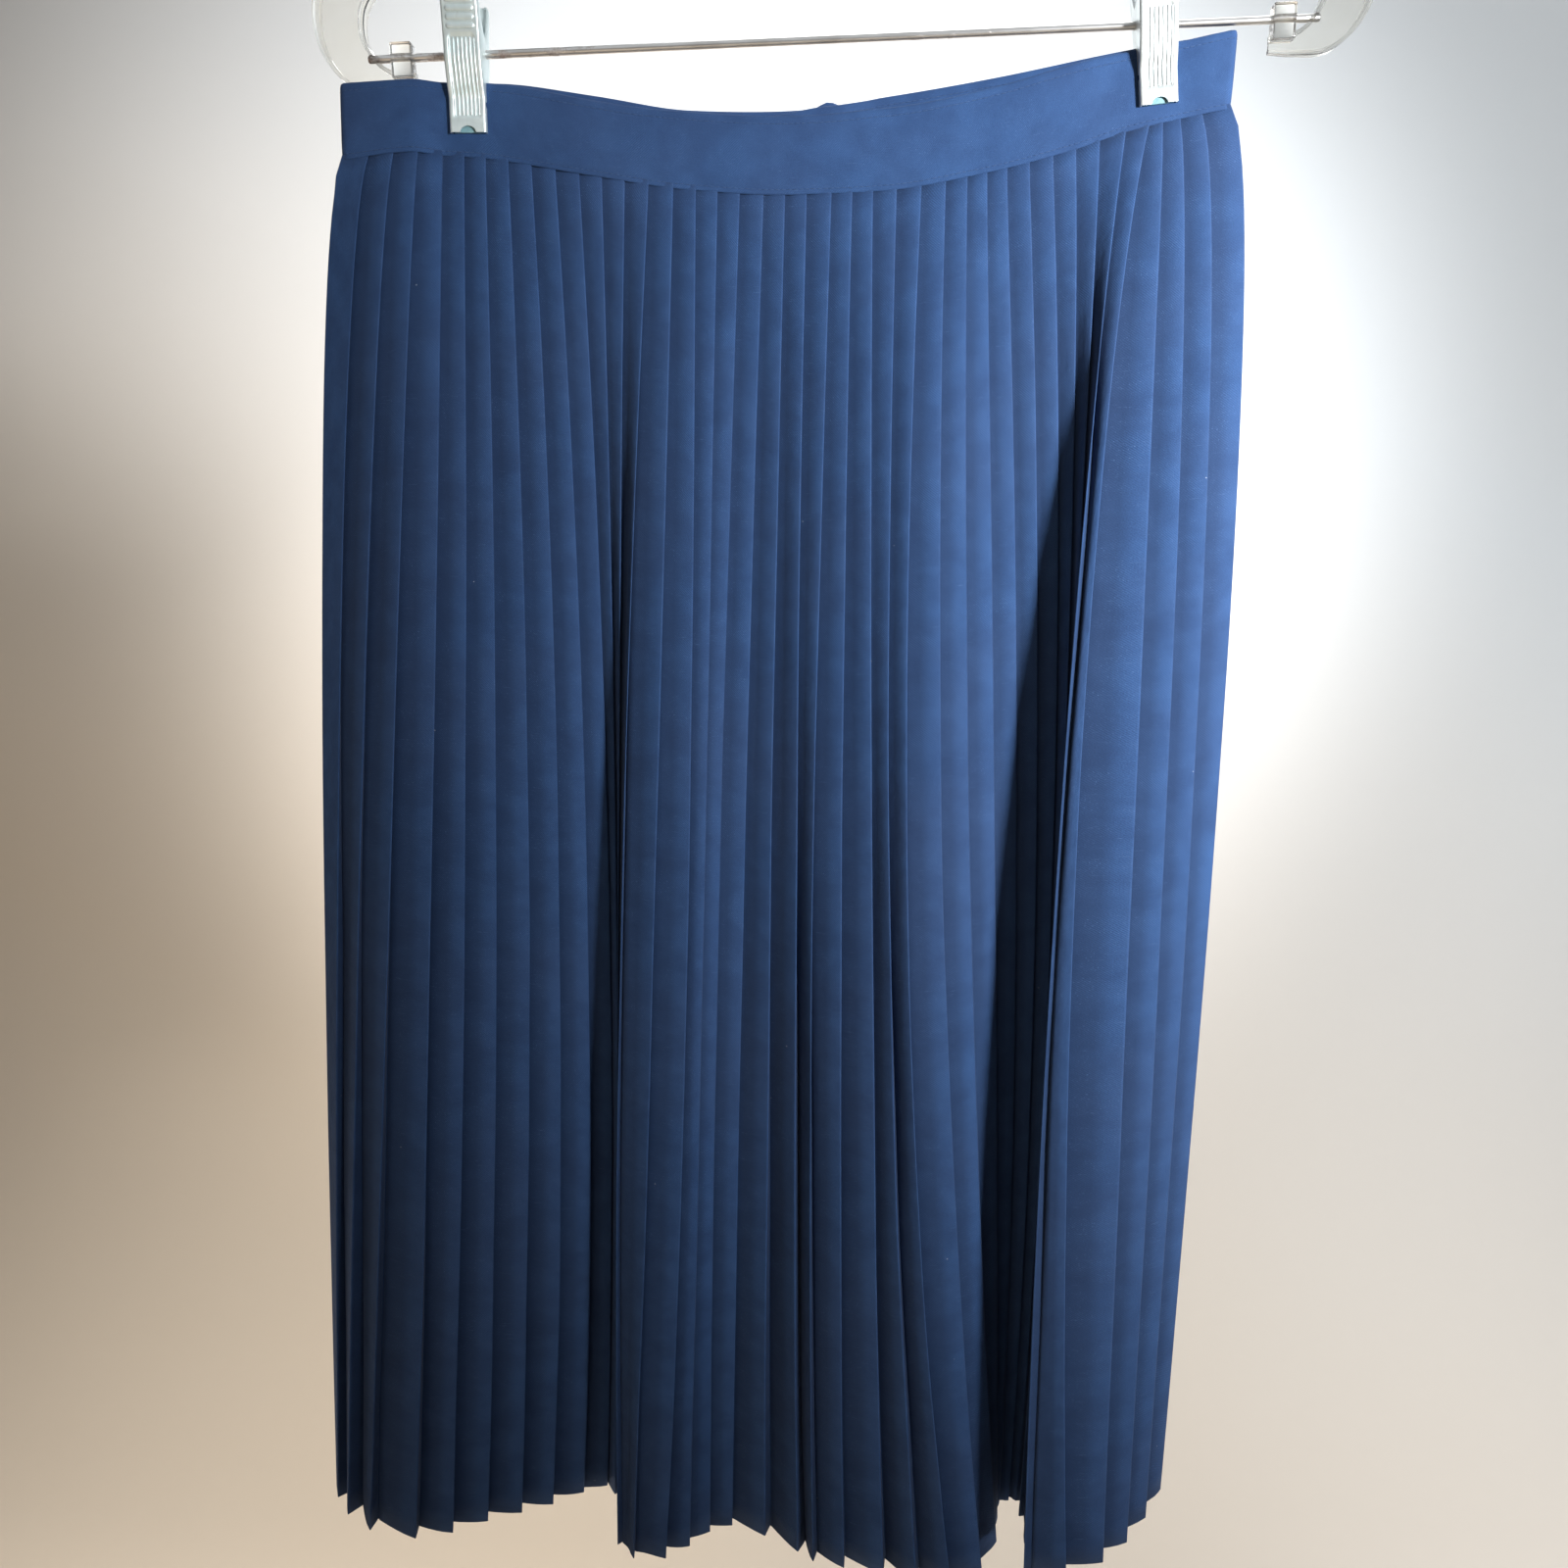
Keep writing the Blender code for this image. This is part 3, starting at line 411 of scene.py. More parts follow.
TWILL_PITCH = 1.0 * MM
SLUB_LENGTH = 7.0 * MM
SLUB_WIDTH = 0.55 * MM


def wool_twill():
    """Navy wool twill with a soft nap: diagonal ribs, slubs, a little lint, pressed edges lighter from wear
    and a painted shine, painted glints and painted shade in the folds.
    """
    mat, g, place = material("wool_twill")
    cloth = g.node("ShaderNodeUVMap", uv_map="cloth")[0]
    x, y = g.split(cloth)[0], g.split(cloth)[1]

    def marked(name):
        return g.node("ShaderNodeAttribute", attribute_name=name)["Fac"]

    raised = g.ramp(g.noise(cloth, 75.0), 0.40, 0.64, 0.12, 1.0)
    turns = g.noise(cloth, 800.0, 1.0) * 0.55 + (x + y) * (1 / TWILL_PITCH)
    rib = (g.sine(turns, 1.0) * 0.5 + 0.5) * raised
    grain = g.noise(cloth, 2400.0, 2.0, 0.6)
    slub = g.ramp(g.noise(g.triple(x * (1 / SLUB_LENGTH), y * (1 / SLUB_WIDTH)), 1.0), 0.64, 0.80)
    slub = slub * g.ramp(g.noise(cloth, 1500.0, 1.0), 0.42, 0.58)
    tone = rib * 0.26 + grain * 0.62 + g.noise(cloth, 42.0, 3.0, 0.6) * 0.34
    fleck = g.node("ShaderNodeTexVoronoi", {"Vector": cloth, "Scale": 110.0, "Randomness": 1.0})
    lint = g.math("LESS_THAN", g.noise(cloth, 2500.0) * 0.02 + fleck["Distance"], 0.036)
    sparse = g.math("GREATER_THAN", g.node("ShaderNodeSeparateColor", {0: fleck["Color"]})[0], 0.90)

    base = g.tint(g.ramp(tone, 0.30, 0.90), (0.0120, 0.0335, 0.098), (0.0292, 0.0835, 0.220))
    clouds = g.ramp(g.noise(place, 9.0, 3.0, 0.6), 0.42, 0.62, 0.0, 0.30)
    # The crests painted lighter: partly wear, partly a painted shine.
    crest_wear_and_shine = marked("press") * g.ramp(g.noise(cloth, 160.0), 0.35, 0.75, 0.0, 0.15)
    glint = g.ramp(g.noise(cloth, 1800.0, 1.0), 0.66, 0.74, 0.0, 0.5) * raised
    # Over the base: random clouds of tone, the crests' wear and painted shine, painted shade in and beside
    # the folds, painted glints, slubs and lint.
    for share, over in (
            (clouds, (0.025, 0.050, 0.126)), (crest_wear_and_shine, (0.060, 0.110, 0.230)),
            (marked("painted_fold_shade") * 0.55, (0.006, 0.017, 0.050)), (glint, (0.085, 0.155, 0.310)),
            (slub * 0.42, (0.075, 0.140, 0.280)), (lint * sparse * 0.6, (0.40, 0.43, 0.48))):
        base = g.tint(share, base, over)
    weave = g.bump(rib * 0.8 + (slub * 0.9 + grain), 0.070 * MM, 0.8)
    return painted(mat, g, {
        "Base Color": base, "Roughness": g.ramp(tone, 0.2, 1.0, 0.92, 0.78), "Specular IOR Level": 0.25,
        "Sheen Weight": 0.08, "Sheen Roughness": 0.45, "Sheen Tint": (0.62, 0.74, 1.0, 1.0),
        "Normal": g.bump(g.noise(cloth, 110.0, 3.0, 0.6), 0.9 * MM, 0.45, Normal=weave)})


# ---------------------------------------------------------------- the hung cloth
def band_sag(across, back):
    return through(BAND_SAG, "back" if back else "front", across / MM) * MM


def seam_height(across, back):
    return SEAM_HEIGHT + math.tan(TILT) * across - band_sag(across, back)


def half_gap(across):
    return through(BAND_BOW, "half_gap", across / MM) * MM


def band_middle(across):
    return -through(BAND_BOW, "forward", across / MM) * MM


Cloth = namedtuple("Cloth", "place run outward")


def cloth_at(folds, pleat, down):
    """A crest's point, the way the next pleat lies and the way out of the cloth."""
    back = folds is BACK_FOLDS
    side = 1.0 if back else -1.0
    share = max(down, 0.0)
    out_of_band = ease(share / BAND_HOLD)

    def plan(at):
        waist = through(folds, "waist", at) * MM
        hem = through(folds, "hem", at) * MM
        in_band = half_gap(waist) + IN_BAND
        at_side = mix(in_band, SIDE_GAP, out_of_band)
        free = mix(in_band, max(in_band, HALF_GAP_WAIST), out_of_band)
        waist_depth = band_middle(waist) + side * mix(at_side, free, ease(min(at, PLEATS - at)))
        hem_depth = through(folds, "depth", at) * MM + side * SIDE_GAP
        # The outer pleats spread early in their fall, the middle ones evenly.
        spread = share ** mix(1.1, 0.5, (abs(waist) / (WAIST_WIDTH / 2)) ** 3)
        bend = through(folds, "bend", at) * MM * 4 * spread * (1 - spread)
        across = mix(waist, hem, spread) + bend
        depth = mix(waist_depth, hem_depth, share ** DEPTH_POWER)
        fall = math.sqrt(CLOTH_LENGTH ** 2 - (hem - waist) ** 2 - (hem_depth - waist_depth) ** 2)
        return Vector((across, depth, seam_height(waist, back) - fall * down))

    step = 0.25
    run = plan(min(pleat + step, PLEATS)) - plan(max(pleat - step, 0.0))
    run.z = 0.0
    run.normalize()
    return Cloth(plan(pleat) + Vector((SKIRT_MIDDLE, 0, 0)), run, Vector((run.y, -run.x, 0)))


def placket_edge(down):
    """How far a back panel's edge stands from the centre-back line."""
    closed = ease((down - PLACKET_END) / (PLACKET_CLOSED - PLACKET_END))
    return mix(ZIP_CHAIN_HALF + 0.1 * MM, 0.12 * MM, closed)


def panel_guide(name, folds, first, last, plain, shift):
    """The crests of a panel's pleats, a column of points for each, with what the pleats
    need to know there."""
    places, facts = [], []
    for pleat in range(first, last + 1):
        opening = through(folds, "opening", pleat)
        for row in range(CLOTH_ROWS):
            share = (row / (CLOTH_ROWS - 1)) ** ROW_POWER
            cloth = cloth_at(folds, pleat, share if row else -CLOTH_TUCK / CLOTH_LENGTH)
            places.append(cloth.place + cloth.run * (shift[pleat](share) if pleat in shift else 0.0))
            waist = mix(PLEAT_DEPTH_BAND, PLEAT_DEPTH_WAIST, ease(share / BAND_HOLD))
            facts.append({
                "run": cloth.run, "outward": cloth.outward, "down": share,
                "depth": mix(waist, PLEAT_DEPTH_HEM * opening, share ** DEPTH_POWER),
                "under": mix(UNDERLAY_WAIST, UNDERLAY_HEM, share ** 0.7),
                "open": ease(share * 1.6) * min(1.0, opening * 1.4),
                "plain": float(pleat in plain), "number": float(pleat - first)})
    data = bpy.data.meshes.new(f"{name}_guide")
    data.from_pydata(places, [], [])
    for key, first_value in facts[0].items():
        values = [fact[key] for fact in facts]
        if isinstance(first_value, Vector):
            data.attributes.new(key, "FLOAT_VECTOR", "POINT").data.foreach_set(
                "vector", [part for value in values for part in value])
        else:
            data.attributes.new(key, "FLOAT", "POINT").data.foreach_set("value", values)
    return data


def knife_pleats():
    """Pressed knife pleats through a guide of crest points: each pleat's cloth turns at its
    crest, runs back under the face beside it to its inner fold and out again to the next
    crest. Lower down the folds stand open."""
    g, given = geometry_tree("knife_pleats", {
        "Pleats": "Int", "Columns": "Int", "Rows": "Int", "Cloth per pleat": "Float", "Length": "Float",
        "Inner fold": "Float", "Wander": "Float", "Uneven": "Float", "Seed": "Int"})
    vector = "FLOAT_VECTOR"

    def attribute(name, kind="FLOAT"):
        return g.made("InputNamedAttribute", {"Name": name}, data_type=kind)

    # The crests wander a little, more towards the hem.
    seed = given["Seed"] * 7.31
    wave = g.noise(g.triple(attribute("number") * 1.7, attribute("down") * 3.2, seed), 1.0, 1.5)
    wave = (wave - 0.5) * (given["Wander"] * 4.0) * g.math("POWER", attribute("down"), 0.5)
    guide = g.made("SetPosition", {
        "Geometry": given["Geometry"], "Offset": g.scaled(attribute("run", vector), wave)})

    # A flat grid with a column for each fold of a pleat's section.
    rows, columns = given["Rows"], given["Columns"]
    grid = g.made("MeshGrid", {"Vertices X": given["Pleats"] * columns + 1, "Vertices Y": rows})
    index = g.made("InputIndex")
    line = g.math("FLOOR", (index + 0.5) / rows)
    row = index - line * rows
    pleat = g.math("FLOOR", (line + 0.5) / columns)
    column = line - pleat * columns
    here = pleat * rows + row
    following = here + rows

    def sample(value, at, kind="FLOAT"):
        return g.made("SampleIndex", {"Geometry": guide, "Value": value, "Index": at},
                      data_type=kind, clamp=True)

    count = len(PLEAT_COLUMNS)
    share = g.curve(column / columns, [(i / count, at) for i, at in enumerate(PLEAT_COLUMNS)] + [(1, 1)])
    plain = sample(attribute("plain"), here)
    folded = 1.0 - plain
    inner = given["Inner fold"]
    face = g.math("DIVIDE", share - inner, 1.0 - inner, clamp=True)
    under = g.math("MINIMUM", share / inner, 1.0 - face)
    face = g.between(plain, face, share)

    def on_face(name):
        return g.between(face, sample(attribute(name), here), sample(attribute(name), following))

    uneven = g.noise(g.triple(pleat * 5.3, row * 0.04, seed), 1.0, 1.0)
    uneven = (uneven - 0.5) * (given["Uneven"] * 3.0) + 1.0
    depth = on_face("depth") * uneven * folded
    profile = g.between(on_face("open"), g.curve(share, PLEAT_CLOSED), g.curve(share, PLEAT_OPEN))
    inward = depth * profile * -1.0

    # Along the line through the crests: forward over this pleat, or back behind the last one.
    position = g.made("InputPosition")
    crest = sample(position, here, vector)
    forward = g.vector("SUBTRACT", sample(position, following, vector), crest)
    backward = g.vector("SUBTRACT", sample(position, here - rows, vector), crest)
    hidden = on_face("under") * under * folded
    reach = g.length(forward)
    spent = reach * face - hidden
    ahead = g.scaled(forward, g.math("MAXIMUM", spent, 0.0) / reach)
    behind = g.math("MAXIMUM", spent * -1.0, 0.0) / g.math("MAXIMUM", g.length(backward), 1e-6)
    behind = g.scaled(backward, behind)
    place = g.vector("ADD", crest, g.vector("ADD", ahead, behind))
    place = g.vector("ADD", place, g.scaled(sample(attribute("outward", vector), here, vector), inward))
    cloth = g.made("SetPosition", {"Geometry": grid, "Position": place})

    across = (pleat + share) * given["Cloth per pleat"]
    along = on_face("down") * given["Length"] * -1.0
    flat = g.made("FieldOnDomain", {0: g.triple(across, along)}, data_type=vector, domain="POINT")
    # The cloth's flat coordinates, its crests, lighter from wear and a painted shine, and a mask of painted
    # shade in and beside the folds.
    for name, value, kind, domain in (
            ("cloth", flat, "FLOAT2", "CORNER"),
            ("press", g.curve(share, PLEAT_PRESS) * folded, "FLOAT", "POINT"),
            ("painted_fold_shade", g.curve(share, PLEAT_FOLD_SHADE) * folded, "FLOAT", "POINT")):
        cloth = g.made("StoreNamedAttribute", {"Geometry": cloth, "Name": name, "Value": value},
                       data_type=kind, domain=domain)
    return finish_tree(g, cloth, given)


Panel = namedtuple("Panel", "name folds first last plain shift")
PANELS = [
    Panel("front", FRONT_FOLDS, 0, PLEATS, {0}, {}),
    Panel("back_right", BACK_FOLDS, 0, CLOSURE_PLEAT, {0, CLOSURE_PLEAT - 1},
          {CLOSURE_PLEAT: lambda down: -placket_edge(down)}),
    Panel("back_left", BACK_FOLDS, CLOSURE_PLEAT, PLEATS, {CLOSURE_PLEAT}, {CLOSURE_PLEAT: placket_edge}),
]


def build_panels(twill):
    tree = knife_pleats()
    for seed, panel in enumerate(PANELS):
        pleats = panel.last - panel.first
        data = grown(f"{panel.name}_cloth", panel_guide(*panel), tree, twill, {
            "Pleats": pleats, "Columns": len(PLEAT_COLUMNS), "Rows": CLOTH_ROWS,
            "Cloth per pleat": PLEAT_CLOTH, "Length": CLOTH_LENGTH, "Inner fold": PLEAT_INNER_FOLD,
            "Wander": 0.55 * MM, "Uneven": 0.4, "Seed": seed + 3}, CLOTH_THICK)
        piece = show(f"{panel.name}_cloth", data, None, "navy_wool_twill", panel.name)
        pleats * PLEAT_CLOTH


# ---------------------------------------------------------------- waistband
BandSpot = namedtuple("BandSpot", "across depth back along")


def band_path(step):
    """The band's middle seen from above, from its hidden end round to its outer end."""
    half = WAIST_WIDTH / 2
    closure = through(BACK_FOLDS, "waist", CLOSURE_PLEAT) * MM
    inner = BAND_THICK + 0.3 * MM
    path = []

    def put(across, depth, back):
        if path and math.hypot(across - path[-1][0], depth - path[-1][1]) < 1e-7:
            return
        path.append((across, depth, back))

    def straight(start, end, back, inset=lambda across: 0.0):
        count = max(2, round(abs(end - start) / step))
        for i in range(count + 1):
            across = mix(start, end, i / count)
            side = 1.0 if back else -1.0
            put(across, band_middle(across) + side * (half_gap(across) - inset(across)), back)

    def end_fold(sign):
        edge = sign * (half - BAND_END_FOLD)
        for i in range(1, 12):
            turn = math.radians(90 - 15 * i)
            put(edge + sign * BAND_END_FOLD * math.cos(turn),
                band_middle(edge) + sign * half_gap(edge) * math.sin(turn), turn * sign > 0)

    straight(closure - BAND_UNDERLAP, half - BAND_END_FOLD, True,
             lambda across: inner * (1.0 - ease((across - closure - OVERLAP_RISE) / OVERLAP_RUN)))
    end_fold(1.0)
    straight(half - BAND_END_FOLD, -(half - BAND_END_FOLD), False)
    end_fold(-1.0)
    straight(-(half - BAND_END_FOLD), closure, True)
    spots, along = [], 0.0
    for i, (across, depth, back) in enumerate(path):
        if i:
            along += math.hypot(across - path[i - 1][0], depth - path[i - 1][1])
        spots.append(BandSpot(across, depth, back, along))
    return spots


def band_growth(spot, total):
    """How tall the band is there, as a share of its full height."""
    stretch = through(BAND_STRETCH, "back" if spot.back else "front", spot.across / MM) * MM
    hidden = 1.0 - ease(spot.along / UNDERLAP_DROP_RUN)
    hump = ease(1.0 - abs(total - spot.along - HUMP_FROM_END) / HUMP_HALF)
    return 1.0 + (stretch + hump * HUMP_RISE - hidden * UNDERLAP_DROP) / BAND_HEIGHT


def band_line(out, up, step=BAND_STEP, face=1.0):
    """Points along the band, out from its middle and up from its seam."""
    spots = band_path(step)
    total = spots[-1].along
    line = []
    for i, spot in enumerate(spots):
        before, after = spots[max(i - 1, 0)], spots[min(i + 1, len(spots) - 1)]
        way = Vector((after.across - before.across, after.depth - before.depth)).normalized()
        outward = Vector((way.y, -way.x))
        here = Vector((spot.across, spot.depth)) + outward * out(spot) * face
        high = seam_height(spot.across, spot.back) + up(spot) * band_growth(spot, total)
        line.append(Vector((SKIRT_MIDDLE + here.x, here.y, high)))
    return line


BAND_TOP_STITCH = 27.0 * MM
BAND_FOOT_STITCH = 2.0 * MM
Level = namedtuple("Level", "up out")
# The folded band's section from its outer foot up to the fold, as shares of its half
# thickness: it is drawn in along both rows of stitches.
BAND_FACE = [
    Level(0.0, 0.80), Level(0.7, 0.96), Level(1.4, 0.94), Level(2.0, 0.80), Level(2.7, 0.95), Level(4.0, 1.0),
    Level(8.0, 1.02), Level(13.0, 1.03), Level(18.0, 1.03), Level(23.0, 1.01), Level(25.6, 0.98),
    Level(26.4, 0.93), Level(27.0, 0.80), Level(27.6, 0.90), Level(28.6, 0.86), Level(29.4, 0.62),
    Level(29.9, 0.30),
]


def puckers(along, up):
    """Small drawn-in dimples beside the stitches and soft cockles between them."""
    near = sum(math.exp(-((up - row) / (2.2 * MM)) ** 2) for row in (BAND_FOOT_STITCH, BAND_TOP_STITCH))
    fine = math.sin(along / (1.75 * MM)) * math.sin(along / (13.0 * MM) + 1.0)
    slow = (math.sin(along / (21.0 * MM) + up / (9.0 * MM))
            * math.sin(along / (34.0 * MM) - up / (15.0 * MM) + 2.0))
    return (0.06 * fine * near + 0.16 * slow) * MM


def build_waistband(twill):
    """One strip folded over lengthwise, its pinched ends overlapping at the centre back."""
    spots = band_path(BAND_STEP)
    total = spots[-1].along

    def strip(level, side):
        """The sheet's line at a level, on its outer face or its inner one."""
        full = BAND_FACE_OUT * level.out
        pinched = full * 0.6 if level.up > BAND_FOLD_FROM else BAND_SHEET * 0.55

        def out(spot):
            filled = ease(min(spot.along, total - spot.along) / (1.6 * MM))
            return side * mix(pinched, full, filled) + puckers(spot.along, level.up * MM)

        return band_line(out, lambda spot: level.up * MM)

    lines = [(level.up, strip(level, 1)) for level in BAND_FACE]
    lines.append((BAND_HEIGHT / MM, band_line(lambda spot: 0.0, lambda spot: BAND_HEIGHT)))
    lines += [(60 - level.up, strip(level, -1)) for level in BAND_FACE[::-1]]
    bm = bmesh.new()
    sheet = bm.loops.layers.uv.new("cloth")
    grid = [[bm.verts.new(place) for place in line] for _, line in lines]
    flat = {vert: (-spot.along, up * MM) for (up, _), row in zip(lines, grid)
            for vert, spot in zip(row, spots)}
    laid(bm, grid)
    for made in bm.faces:
        for loop in made.loops:
            loop[sheet].uv = flat[loop.vert]
    band = show("waistband_cloth", to_mesh(bm), twill, "navy_wool_twill", "waistband")
    thickened(band, BAND_SHEET)


# ---------------------------------------------------------------- meshes for the hard pieces
def laid(bm, rows, flipped=False):
    """Smooth faces between rows of vertices."""
    for near, far in zip(rows, rows[1:]):
        for i in range(len(near) - 1):
            corners = (near[i], near[i + 1], far[i + 1], far[i])
            bm.faces.new(corners[::-1] if flipped else corners).smooth = True


def to_mesh(bm):
    data = bpy.data.meshes.new("piece")
    bm.to_mesh(data)
    bm.free()
    return data


def skinned(rings, sharp=40.0):
    """A mesh through rings of points, with both ends filled and its sharp edges marked."""
    bm = bmesh.new()
    made = [[bm.verts.new(point) for point in ring] for ring in rings]
    laid(bm, [ring + ring[:1] for ring in made])
    bm.faces.new(made[0][::-1])
    bm.faces.new(made[-1])
    return mesh_of(bm, sharp)


def slab(outline, near, far):
    """A flat plate of (x, z) points from one y to another."""
    return skinned([[(x, y, z) for x, z in outline] for y in (near, far)])


def arc(x, z, radius, start, sweep, steps):
    turns = [start + sweep * i / steps for i in range(steps + 1)]
    return [(x + radius * math.cos(turn), z + radius * math.sin(turn)) for turn in turns]


def mesh_of(bm, sharp=40.0):
    """The bmesh as a mesh: doubles merged, faces outwards, smooth but for its sharp edges."""
    bmesh.ops.remove_doubles(bm, verts=bm.verts, dist=1e-6)
    bmesh.ops.recalc_face_normals(bm, faces=bm.faces)
    for made in bm.faces:
        made.smooth = True
    for edge in bm.edges:
        if len(edge.link_faces) == 2 and edge.calc_face_angle() > math.radians(sharp):
            edge.smooth = False
    return to_mesh(bm)


def turned(section, sides, axis="Z", place=(0, 0, 0)):
    """A closed section of (radius, height) points spun round an axis."""
    bm = bmesh.new()
    verts = [bm.verts.new((radius, 0, height)) for radius, height in section]
    for a, b in zip(verts, verts[1:]):
        bm.edges.new((a, b))
    bmesh.ops.spin(bm, geom=bm.verts[:] + bm.edges[:], cent=(0, 0, 0), axis=(0, 0, 1),
                   angle=2 * math.pi, steps=sides)
    data = mesh_of(bm)
    turn = {"X": Matrix.Rotation(math.radians(90), 4, "Y"), "Y": Matrix.Rotation(math.radians(-90), 4, "X"),
            "Z": Matrix.Identity(4)}[axis]
    data.transform(Matrix.Translation(place) @ turn)
    return data


def block(size, centre=(0, 0, 0), round_by=0.0):
    """A box with its edges rounded over."""
    bm = bmesh.new()
    bmesh.ops.create_cube(bm, size=1.0)
    bmesh.ops.scale(bm, vec=size, verts=bm.verts)
    bmesh.ops.translate(bm, vec=centre, verts=bm.verts)
    if round_by:
        bmesh.ops.bevel(bm, geom=bm.edges[:], offset=round_by, segments=3, profile=0.5, affect="EDGES")
    return mesh_of(bm)


TIP = [(0.12, 0.95), (0.35, 0.78), (0.55, 0.45)]


def tube(points, radius, sides=12, tips=True):
    """A round bar through the points, drawn in to a rounded tip at both ends."""
    points = [Vector(point) for point in points]
    last = len(points) - 1
    turns = [2 * math.pi * k / sides for k in range(sides)]
    side = (points[1] - points[0]).normalized().orthogonal().normalized()
    rings = []
    for i, point in enumerate(points):
        way = (points[min(i + 1, last)] - points[max(i - 1, 0)]).normalized()
        side = (side - way * side.dot(way)).normalized()
        up = way.cross(side)
        sizes = [(0.0, 1.0)]
        if tips and i == 0:
            sizes = [(-shift, share) for shift, share in TIP[::-1]] + sizes
        elif tips and i == last:
            sizes += TIP
        for shift, share in sizes:
            rings.append([point + way * shift * radius
                          + (side * math.cos(turn) + up * math.sin(turn)) * radius * share for turn in turns])
    return skinned(rings)


def combined(data, others, operation):
    """The mesh joined with other meshes, or cut by them."""
    made = [linked("part", mesh) for mesh in [data] + others]
    for other in made[1:]:
        mod = made[0].modifiers.new("combine", "BOOLEAN")
        mod.operation = operation
        mod.object = other
    result = baked(made[0])
    for obj in made:
        bpy.data.objects.remove(obj)
    return result


def creased(data, sharp=30.0):
    """A combined mesh, cleaned, with its sharp edges marked anew."""
    bm = bmesh.new()
    bm.from_mesh(data)
    return mesh_of(bm, sharp)


def together(meshes):
    """Several meshes as one."""
    bm = bmesh.new()
    for data in meshes:
        bm.from_mesh(data)
    return to_mesh(bm)


def placed(data, matrix):
    data.transform(matrix)
    return data


def line_mesh(lines):
    """Open lines of points as a mesh of edges."""
    data = bpy.data.meshes.new("line")
    points, edges = [], []
    for line in lines:
        edges += [(len(points) + i, len(points) + i + 1) for i in range(len(line) - 1)]
        points += line
    data.from_pydata(points, edges, [])
    return data


# ---------------------------------------------------------------- trees for what repeats
def running_stitches():
    """Short rounded thread stitches along the guide's lines, a gap after each."""
    g, given = geometry_tree("running_stitches", {
        "Pitch": "Float", "Stitch": "Float", "Thread": "Float", "Loose": "Float", "Seed": "Int"})
    line = g.made("MeshToCurve", {"Mesh": given["Geometry"]})
    spots = g.node("GeometryNodeCurveToPoints", {"Curve": line, "Length": given["Pitch"]}, mode="LENGTH")
    turn = g.node("FunctionNodeAlignRotationToVector", {"Vector": spots["Tangent"]}, axis="X")[0]
    thread = g.made("MeshUVSphere", {"Segments": 7, "Rings": 5, "Radius": 1.0})
    sway = g.node("FunctionNodeRandomValue", {"Seed": given["Seed"], 2: 0.85, 3: 1.15}, data_type="FLOAT")[1]
    size = g.triple(given["Stitch"] * 0.5 * sway, given["Thread"], given["Thread"] * 1.15)
    tilt = g.node("FunctionNodeRandomValue", {"Seed": given["Seed"] + 5, 0: (-1, -1, -1), 1: (1, 1, 1)},
                  data_type="FLOAT_VECTOR")[0]
    turn = g.node("FunctionNodeRotateRotation", {0: turn, 1: g.scaled(tilt, given["Loose"])},
                  rotation_space="LOCAL")[0]
    stitches = g.made("InstanceOnPoints", {
        "Points": spots["Points"], "Instance": thread, "Rotation": turn, "Scale": size})
    return finish_tree(g, stitches, given)


def repeated_beads():
    """Copies of the guide's line set side by side, each a raised bead with tapered ends."""
    g, given = geometry_tree("repeated_beads", {
        "Count": "Int", "Step": "Vector", "Rise": "Float", "Half width": "Float", "Blunt": "Float",
        "Sides": "Int"})
    line = g.made("MeshToCurve", {"Mesh": given["Geometry"]})
    along = g.made("SplineParameter")
    from_end = g.math("MINIMUM", along, 1.0 - along)
    taper = g.curve(g.math("DIVIDE", from_end, given["Blunt"], clamp=True), [(0, 0.3), (0.4, 0.8), (1, 1)])
    line = g.made("SetCurveRadius", {"Curve": line, "Radius": taper})
    bar = g.made("CurvePrimitiveCircle", {"Resolution": given["Sides"], "Radius": 1.0})
    bar = g.made("Transform", {
        "Geometry": bar, "Scale": g.triple(given["Rise"], given["Half width"], 1.0)})
    bead = g.made("CurveToMesh", {
        "Curve": line, "Profile Curve": bar, "Fill Caps": True, "Scale": taper})
    row = g.made("MeshLine", {"Count": given["Count"], "Offset": given["Step"]})
    beads = g.made("InstanceOnPoints", {"Points": row, "Instance": bead})
    return finish_tree(g, beads, given)


def wound_coil():
    """A round wire wound into a coil along Z."""
    g, given = geometry_tree("wound_coil", {
        "Turns": "Float", "Radius": "Float", "Length": "Float", "Wire": "Float", "Sides": "Int"})
    wire = g.made("CurveSpiral", {
        "Resolution": 22, "Rotations": given["Turns"], "Start Radius": given["Radius"],
        "End Radius": given["Radius"], "Height": given["Length"]})
    bar = g.made("CurvePrimitiveCircle", {"Resolution": given["Sides"], "Radius": given["Wire"]})
    coil = g.made("CurveToMesh", {"Curve": wire, "Profile Curve": bar, "Fill Caps": True})
    return finish_tree(g, coil, given)


def zip_teeth():
    """The teeth of a closed coil zip: short round bars set by turns from either side."""
    g, given = geometry_tree("zip_teeth", {
        "Pitch": "Float", "Tooth": "Float", "Wire": "Float", "Overlap": "Float"})
    line = g.made("MeshToCurve", {"Mesh": given["Geometry"]})
    spots = g.node("GeometryNodeCurveToPoints", {"Curve": line, "Length": given["Pitch"]}, mode="LENGTH")
    side = g.math("MODULO", g.made("InputIndex"), 2.0) * 2.0 - 1.0
    shifted = g.made("SetPosition", {
        "Geometry": spots["Points"], "Offset": g.triple(side * given["Overlap"], 0.0)})
    bar = g.made("MeshUVSphere", {"Segments": 8, "Rings": 6, "Radius": 1.0})
    size = g.triple(given["Tooth"] * 0.5, given["Wire"], given["Wire"] * 0.8)
    teeth = g.made("InstanceOnPoints", {"Points": shifted, "Instance": bar, "Scale": size})
    return finish_tree(g, teeth, given)


